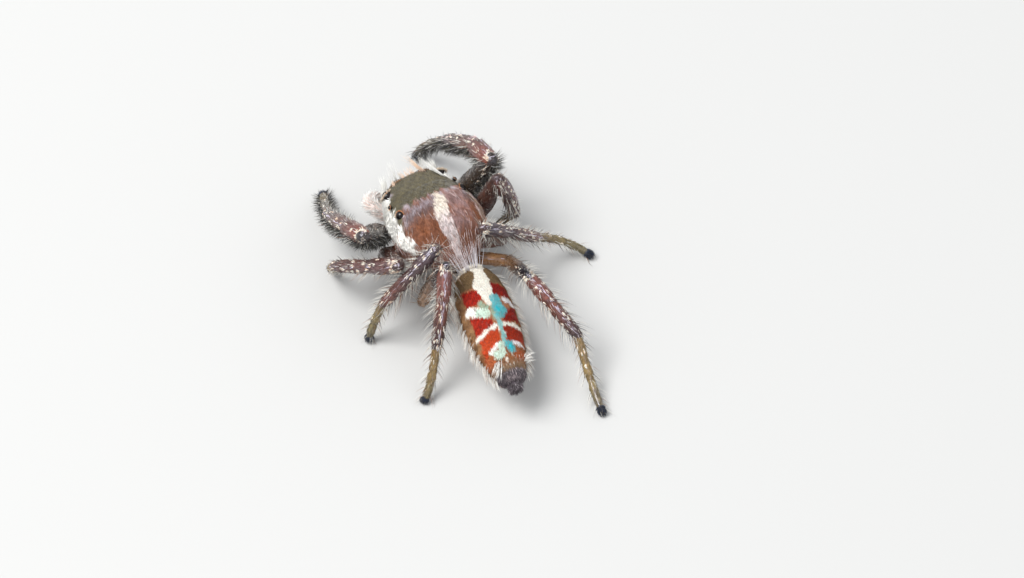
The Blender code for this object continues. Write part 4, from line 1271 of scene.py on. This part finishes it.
# Shell colours of each leg from body to tip, two for each segment.
LEG_COLOURS = {
    1: ((118, 70, 44), (92, 58, 42), (62, 50, 38), (58, 48, 40), (116, 62, 46), (92, 60, 52),
        (92, 62, 50), (66, 50, 44), (72, 60, 46), (86, 76, 54), (108, 92, 62), (92, 82, 62)),
    2: ((118, 70, 44), (104, 62, 42), (100, 60, 44), (76, 50, 42), (94, 58, 50), (84, 56, 52),
        (98, 64, 56), (82, 54, 46), (116, 86, 46), (128, 102, 54), (126, 106, 64), (104, 90, 64)),
    # The third pair's tibiae, the seventh and eighth colours, are darkened as painted shade.
    3: ((124, 76, 48), (112, 68, 46), (126, 86, 62), (92, 64, 54), (66, 54, 58), (80, 58, 56),
        (72, 48, 44), (100, 56, 40), (114, 92, 48), (124, 106, 58), (122, 108, 66), (104, 94, 66)),
    4: ((136, 98, 66), (146, 108, 72), (150, 112, 76), (28, 24, 30), (108, 62, 50), (116, 66, 52),
        (112, 64, 48), (70, 44, 38), (124, 98, 50), (134, 110, 60), (128, 110, 66), (104, 92, 66)),
}
# How far along the foot its two segments meet, and how far the second reaches.
FOOT_SPLIT, FOOT_END = 0.52, 0.97
CLAW_RADII = (0.016, 0.012, 0.003)


def leg_parts(number, side):
    """One leg: its six segments' surfaces, the balls of soft skin at its joints, and its last path."""
    mirror = 1 if side == "l" else -1
    root, hip = (on_side(place, mirror) for place in COXAE[number])
    knee, ankle, heel, tip = (np.array(point) for point in POSE[number, side])
    plane = unit(np.cross(knee - hip, ankle - knee))
    joint = knee + (ankle - knee) * PATELLA_SHARE
    joint = joint + unit(np.cross(ankle - knee, plane)) * PATELLA_RISE[number, side]
    foot = through(ankle, heel, tip + np.array((0, 0, 0.02)))
    paths = (
        bent(root, hip), bent(hip, knee), bent(knee, joint), bent(joint, ankle),
        part_of(foot, 0, FOOT_SPLIT), part_of(foot, FOOT_SPLIT, FOOT_END),
    )
    surfaces, joints = {}, []
    for (segment, shares), path, (first, last) in zip(SEGMENTS.items(), paths, LEG_RADII[number]):
        up = np.cross(unit(path(0.51) - path(0.49)), plane)
        radii = np.array(shares) * np.linspace(first, last, len(shares))
        surfaces[segment] = tube_surface(path, radii, up, FEMUR_NARROW if segment == "femur" else 1.0)
        joints.append((path(1.0), last * JOINT_SHARE))
    return SimpleNamespace(number=number, side=side, surfaces=surfaces, joints=joints[1:-1], toe=paths[-1])


def leg_tints(number, segment, at):
    """The shell's colour: by segment, clouded, darker below and at the far joint."""
    first = 2 * list(SEGMENTS).index(segment)
    start, end = (paint(*LEG_COLOURS[number][first + k]) for k in (0, 1))
    along = np.clip((at.along - CAP) / (1 - 2 * CAP), 0, 1)
    colours = mixed(start, end, along * 1.6 - 0.2)
    colours = colours * (1 + 0.25 * ripple(at.points, 0.10, number))[..., None]
    colours = colours * (1 - 0.35 * between(along, 0.93, 2, 0.06))[..., None]
    return colours * (1 - 0.2 * np.clip(-np.sin(at.turn), 0, 1))[..., None]


# The coat of the legs. Each kind of hair is rooted by its own rule: short lying hair with a painted lilac
# highlight along the top; patches of pale pink hair on the front pair as painted highlights; cream-gold
# scales in rows of spots and in knee rings; long pale side bristles, dark spines, a black brush under
# the front pair, and blue-black claw pads.
LILAC, FUR_PALE, FOOT_PALE = paint(222, 212, 228), paint(216, 200, 186), paint(170, 156, 116)
# The way the painted lilac highlight faces, and how much one hair differs from the next in brightness.
LIT_SIDE, MOTTLE = unit(np.array((0.15, 0.25, 0.95))), 0.12
# Hairs of a leg of the two front pairs and of the two rear pairs, then each segment's share of them.
FUR_HAIRS, BRISTLES = (1900, 1500), (240, 330)
FUR_SHARES = {"coxa": 0.10, "femur": 0.30, "patella": 0.16, "tibia": 0.22, "metatarsus": 0.12, "tarsus": 0.10}
# Painted highlights on the front legs, patches of pale pink hair: segment and place along it.
PINK_HIGHLIGHTS = {(1, "r"): (("tibia", 0.78), ("patella", 0.90), ("tibia", 0.30)), (1, "l"): (("tibia", 0.30),)}
HIGHLIGHT_PINK, PINK_HIGHLIGHT_HAIRS = paint(236, 204, 204), 420
# Scale spots: how many may stand in a row on each segment, the rows in degrees round the leg, and
# how many scales ring each knee, as a share of the most.
SPOT_COUNTS = {"femur": 3, "patella": 4, "tibia": 7, "metatarsus": 2}
SPOT_ROWS = (30, 66, 114, 152)
SCALE_CREAM, SCALE_GOLD = paint(255, 246, 230), paint(248, 218, 192)
KNEE_RING_MOST = 200
KNEE_RING = {
    (1, "l"): 1.0, (2, "l"): 0.6, (3, "l"): 0.15, (4, "l"): 0.45,
    (1, "r"): 0.8, (2, "r"): 0.3, (3, "r"): 0.8, (4, "r"): 0.9,
}
BRISTLE_SHARES = {"femur": 0.20, "patella": 0.20, "tibia": 0.36, "metatarsus": 0.18, "tarsus": 0.10}
BRISTLE_TONES = paint(240, 236, 226), paint(150, 104, 74), paint(48, 36, 36)
# Spines of the tibia and metatarsus: places along it, degrees round it.
SPINE_PLACES, SPINE_TURNS = (0.3, 0.3, 0.5, 0.5, 0.72, 0.72), (-35, 215, -50, 230, -30, 210)
SPINE_BROWN = paint(44, 30, 28)
BRUSH_SHARES = {"femur": 0.36, "patella": 0.16, "tibia": 0.32, "metatarsus": 0.12, "tarsus": 0.06}
BRUSH_TONES = paint(34, 32, 30), paint(84, 78, 62), paint(186, 184, 180)
BRUSH_HAIRS, PAD_HAIRS = 5200, 340
CLAW_BLUE = paint(30, 38, 56)


def on_segment(leg, segment, along, turn):
    """Roots at given places of one segment."""
    return rooted(leg.surfaces[segment], along, turn, list(SEGMENTS).index(segment), len(SEGMENTS))


def over(leg, shares, total, favour=None, first=0.02, last=0.98):
    """Roots spread over several segments, each with its share of the total."""
    return gathered(*(
        scattered(
            leg.surfaces[segment], max(1, int(total * share)), favour, first, last,
            list(SEGMENTS).index(segment), len(SEGMENTS),
        )
        for segment, share in shares.items()
    ))


def segment_of(roots):
    """The number of the segment that each root stands on, from the coxa's 0."""
    return (roots.across * len(SEGMENTS)).astype(int)


def chosen(roots, kept):
    """Only those roots that are kept."""
    return SimpleNamespace(**{key: value[kept] for key, value in vars(roots).items()})


def tones_of(mix, limits, tones):
    """The first tone below the first limit, the second below the second, and the third above both."""
    return np.where(mix < limits[0], tones[0], np.where(mix < limits[1], tones[1], tones[2]))


def lilac_highlight_share(roots):
    """How far each root lies in the painted lilac highlight along the top of a leg."""
    facing = np.clip((roots.normal @ LIT_SIDE - 0.87) / 0.08, 0, 1)
    ridge = 1.2 * hill(roots.turn - 1.45, 0.13) * between(segment_of(roots), 1.5, 4.5, 0.1)
    return np.maximum(facing, ridge)[:, None]


def leg_fur(leg):
    """Short lying hair in the shell's own colour, some of it paler, and a painted lilac highlight along the
    top.
    """
    rear = leg.number > 2
    roots = over(leg, FUR_SHARES, FUR_HAIRS[rear])
    n = len(roots.along)
    mix = spread(n, 0, 1)
    segment = segment_of(roots)
    foot = (segment > 3)[:, None]
    pairs = np.array([paint(*colour) for colour in LEG_COLOURS[leg.number]]).reshape(-1, 2, 3)[segment]
    own = mixed(pairs[:, 0], pairs[:, 1], roots.along * 1.6 - 0.2)
    fur = tones_of(mix, (0.66, 0.90), (own * 0.85, own * 1.7, np.where(foot, FOOT_PALE, FUR_PALE)))
    # Hairs that face the light are tinted lilac: a painted highlight.
    lit = lilac_highlight_share(roots) * (spread(n, 0, 1) < (0.85 if rear else 0.5)) * np.where(foot, 0.25, 1.0)
    return strands(
        "fur", roots, roots.back + roots.side * spread(n, -0.3, 0.3) + roots.normal * spread(n, 0.12, 0.35),
        -roots.normal * 0.15, spread(n, 0.09, 0.16), spread(n, 0.012, 0.018) + 0.008 * lit,
        fur + (LILAC - fur) * lit, mottle=MOTTLE, stations=2,
    )


def leg_pink_highlight(leg, segment, middle):
    """A patch of pale pink hair on the upper rear side of a segment: a painted highlight."""
    roots = over(leg, {segment: 1}, PINK_HIGHLIGHT_HAIRS, lambda p, a, t: hill(a - middle, 0.09))
    # The painted highlight keeps only the hairs that face up and back.
    facing = roots.normal @ np.array((0, 0.5, 0.8))
    roots = chosen(roots, facing > 0.75 * facing.max())
    n = len(roots.along)
    return strands(
        "pink_highlight", roots, roots.back + roots.side * spread(n, -0.3, 0.3) + roots.normal * spread(n, 0.2, 0.45),
        -roots.normal * 0.15, spread(n, 0.08, 0.14), spread(n, 0.018, 0.026), HIGHLIGHT_PINK,
        mottle=MOTTLE, stations=2,
    )


def leg_scales(leg):
    """Flat cream and gold scales, in rows of small spots and in a ring at the knee."""
    centres, groups = [], []
    for segment, count in SPOT_COUNTS.items():
        start = 0.55 if segment == "femur" else 0.2
        for row in SPOT_ROWS:
            for i in range(count):
                if draw.uniform() < (0.34 if leg.number > 2 else 0.50):
                    place = start + (0.85 - start) * (i + draw.uniform(0.2, 0.8)) / count
                    turn, size = math.radians(row + draw.uniform(-12, 12)), draw.uniform(0.5, 1)
                    centres.append((segment, place, turn, size))
    for segment, place, turn, size in centres:
        count = int(2 + 6 * size)
        along = np.clip(place + draw.normal(0, 0.014, count), 0.02, 0.98)
        groups.append(on_segment(leg, segment, along, turn + draw.normal(0, 0.10, count)))
    ring = int(KNEE_RING_MOST * KNEE_RING[leg.number, leg.side])
    along = draw.uniform(0.10, 0.22, ring)
    groups.append(on_segment(leg, "patella", along, draw.uniform(0.2, np.pi - 0.2, ring)))
    roots = gathered(*groups)
    n = len(roots.along)
    return strands(
        f"leg_{leg.number}_{leg.side}_scales", roots,
        roots.back + roots.side * spread(n, -0.2, 0.2) + roots.normal * spread(n, 0.1, 0.3),
        -roots.normal * 0.1, spread(n, 0.045, 0.075), spread(n, 0.032, 0.044),
        np.where(spread(n, 0, 1) < 0.6, SCALE_CREAM, SCALE_GOLD),
        mottle=MOTTLE, stations=2, flat=0.4, fullness=0.5, dark_root=1.0,
    )


def leg_bristles(leg):
    """Long bristles, most of them pale, that stand out on both sides and are short on top."""
    rear = leg.number > 2
    roots = over(leg, BRISTLE_SHARES, BRISTLES[rear], lambda p, a, t: 0.08 + np.abs(np.cos(t)) ** 3)
    n = len(roots.along)
    tone = tones_of(spread(n, 0, 1), (0.74, 0.9), BRISTLE_TONES)
    long = spread(n, 0.20, 0.44) if rear else spread(n, 0.14, 0.30)
    long = long * (1 - 0.7 * np.clip(roots.normal[:, 2:] * 1.2, 0, 1))
    long = long * np.where(segment_of(roots) > 3, 0.7, 1)[:, None]
    return strands(
        "bristles", roots,
        roots.back * 0.6 + roots.normal * spread(n, 0.7, 1.2) + roots.side * spread(n, -0.25, 0.25),
        roots.back * 0.55, long, spread(n, 0.011, 0.016), tone, mottle=MOTTLE, stations=5,
    )


def leg_spines(leg):
    """A few stout dark spines on the tibia and metatarsus."""
    along, turn = np.array(SPINE_PLACES), np.radians(SPINE_TURNS)
    roots = gathered(*(on_segment(leg, segment, along, turn) for segment in ("tibia", "metatarsus")))
    return strands(
        "spines", roots, roots.back + roots.normal * 0.9, roots.back * 0.15,
        spread(len(roots.along), 0.22, 0.32), 0.026, SPINE_BROWN, mottle=MOTTLE, stations=4,
    )


def leg_brush(leg):
    """The thick dark brush of the front pair, on the sides that face down and back."""
    roots = over(leg, BRUSH_SHARES, BRUSH_HAIRS)
    facing = roots.normal @ np.array((0, 0.45, -0.89)) + np.where(segment_of(roots) > 3, 0.6, 0.15)
    roots = chosen(roots, draw.uniform(0, 0.7, len(facing)) < facing)
    n = len(roots.along)
    tone = tones_of(spread(n, 0, 1), (0.64, 0.86), BRUSH_TONES)
    return strands(
        "brush", roots, roots.back * 0.55 + roots.normal * 0.9 + roots.side * spread(n, -0.35, 0.35),
        roots.back * 0.2, spread(n, 0.13, 0.32), spread(n, 0.014, 0.020), tone, mottle=MOTTLE,
    )


def leg_pad(leg):
    """The pad of short blue-black hair round the claws."""
    roots = over(leg, {"tarsus": 1}, PAD_HAIRS, first=0.72, last=0.99)
    n = len(roots.along)
    ahead = unit(leg.toe(1.0) - leg.toe(0.8))
    return strands(
        "pad", roots, ahead * 0.8 + roots.normal * spread(n, 0.4, 1.0), UP * -0.15,
        spread(n, 0.05, 0.11), 0.020, CLAW_BLUE * spread(n, 0.6, 1.8),
        mottle=MOTTLE, stations=2, fullness=0.5,
    )


scale_finish = tint_finish("leg scales", 0.02, 0.10, 0.28, 0, specular=0.8, coat=0.3)
for number, side in POSE:
    leg = leg_parts(number, side)
    parts = [
        shaped("segment", surface, 32, 36, lambda at: leg_tints(number, segment, at))
        for segment, surface in leg.surfaces.items()
    ]
    for centre, radius in leg.joints:
        parts.append(shaped("joint", ball_surface(centre, radius), 24, 16, JOINT_SKIN))
    tip = leg.toe(1.0)
    ahead = unit((tip - leg.toe(0.8)) * (1, 1, 0))
    across = np.cross(ahead, UP)
    for way in (1, -1):
        start = tip + across * way * 0.025
        claw = through(start, start + ahead * 0.09, start + ahead * 0.12 - UP * 0.07)
        parts.append(shaped("claw", tube_surface(claw, CLAW_RADII, UP), 12, 16, CLAW_BROWN))
    shell = joined(f"leg_{number}_{side}", parts)
    nodes = [f"leg_{number}_{side}_{part}" for part in ("coxa", "femur", "patella", "tibia", "foot")]
    fitted(shell, hard_shell, "leg", *nodes)
    hairs = [leg_fur(leg)] + [leg_pink_highlight(leg, *pink_highlight) for pink_highlight in PINK_HIGHLIGHTS.get((number, side), ())]
    scales = leg_scales(leg)
    hairs += [leg_bristles(leg), leg_spines(leg)]
    if number == 1:
        hairs.append(leg_brush(leg))
    hairs.append(leg_pad(leg))
    fitted(joined(f"leg_{number}_{side}_hair", hairs), hair_finish, "leg")
    fitted(scales, scale_finish, "leg")
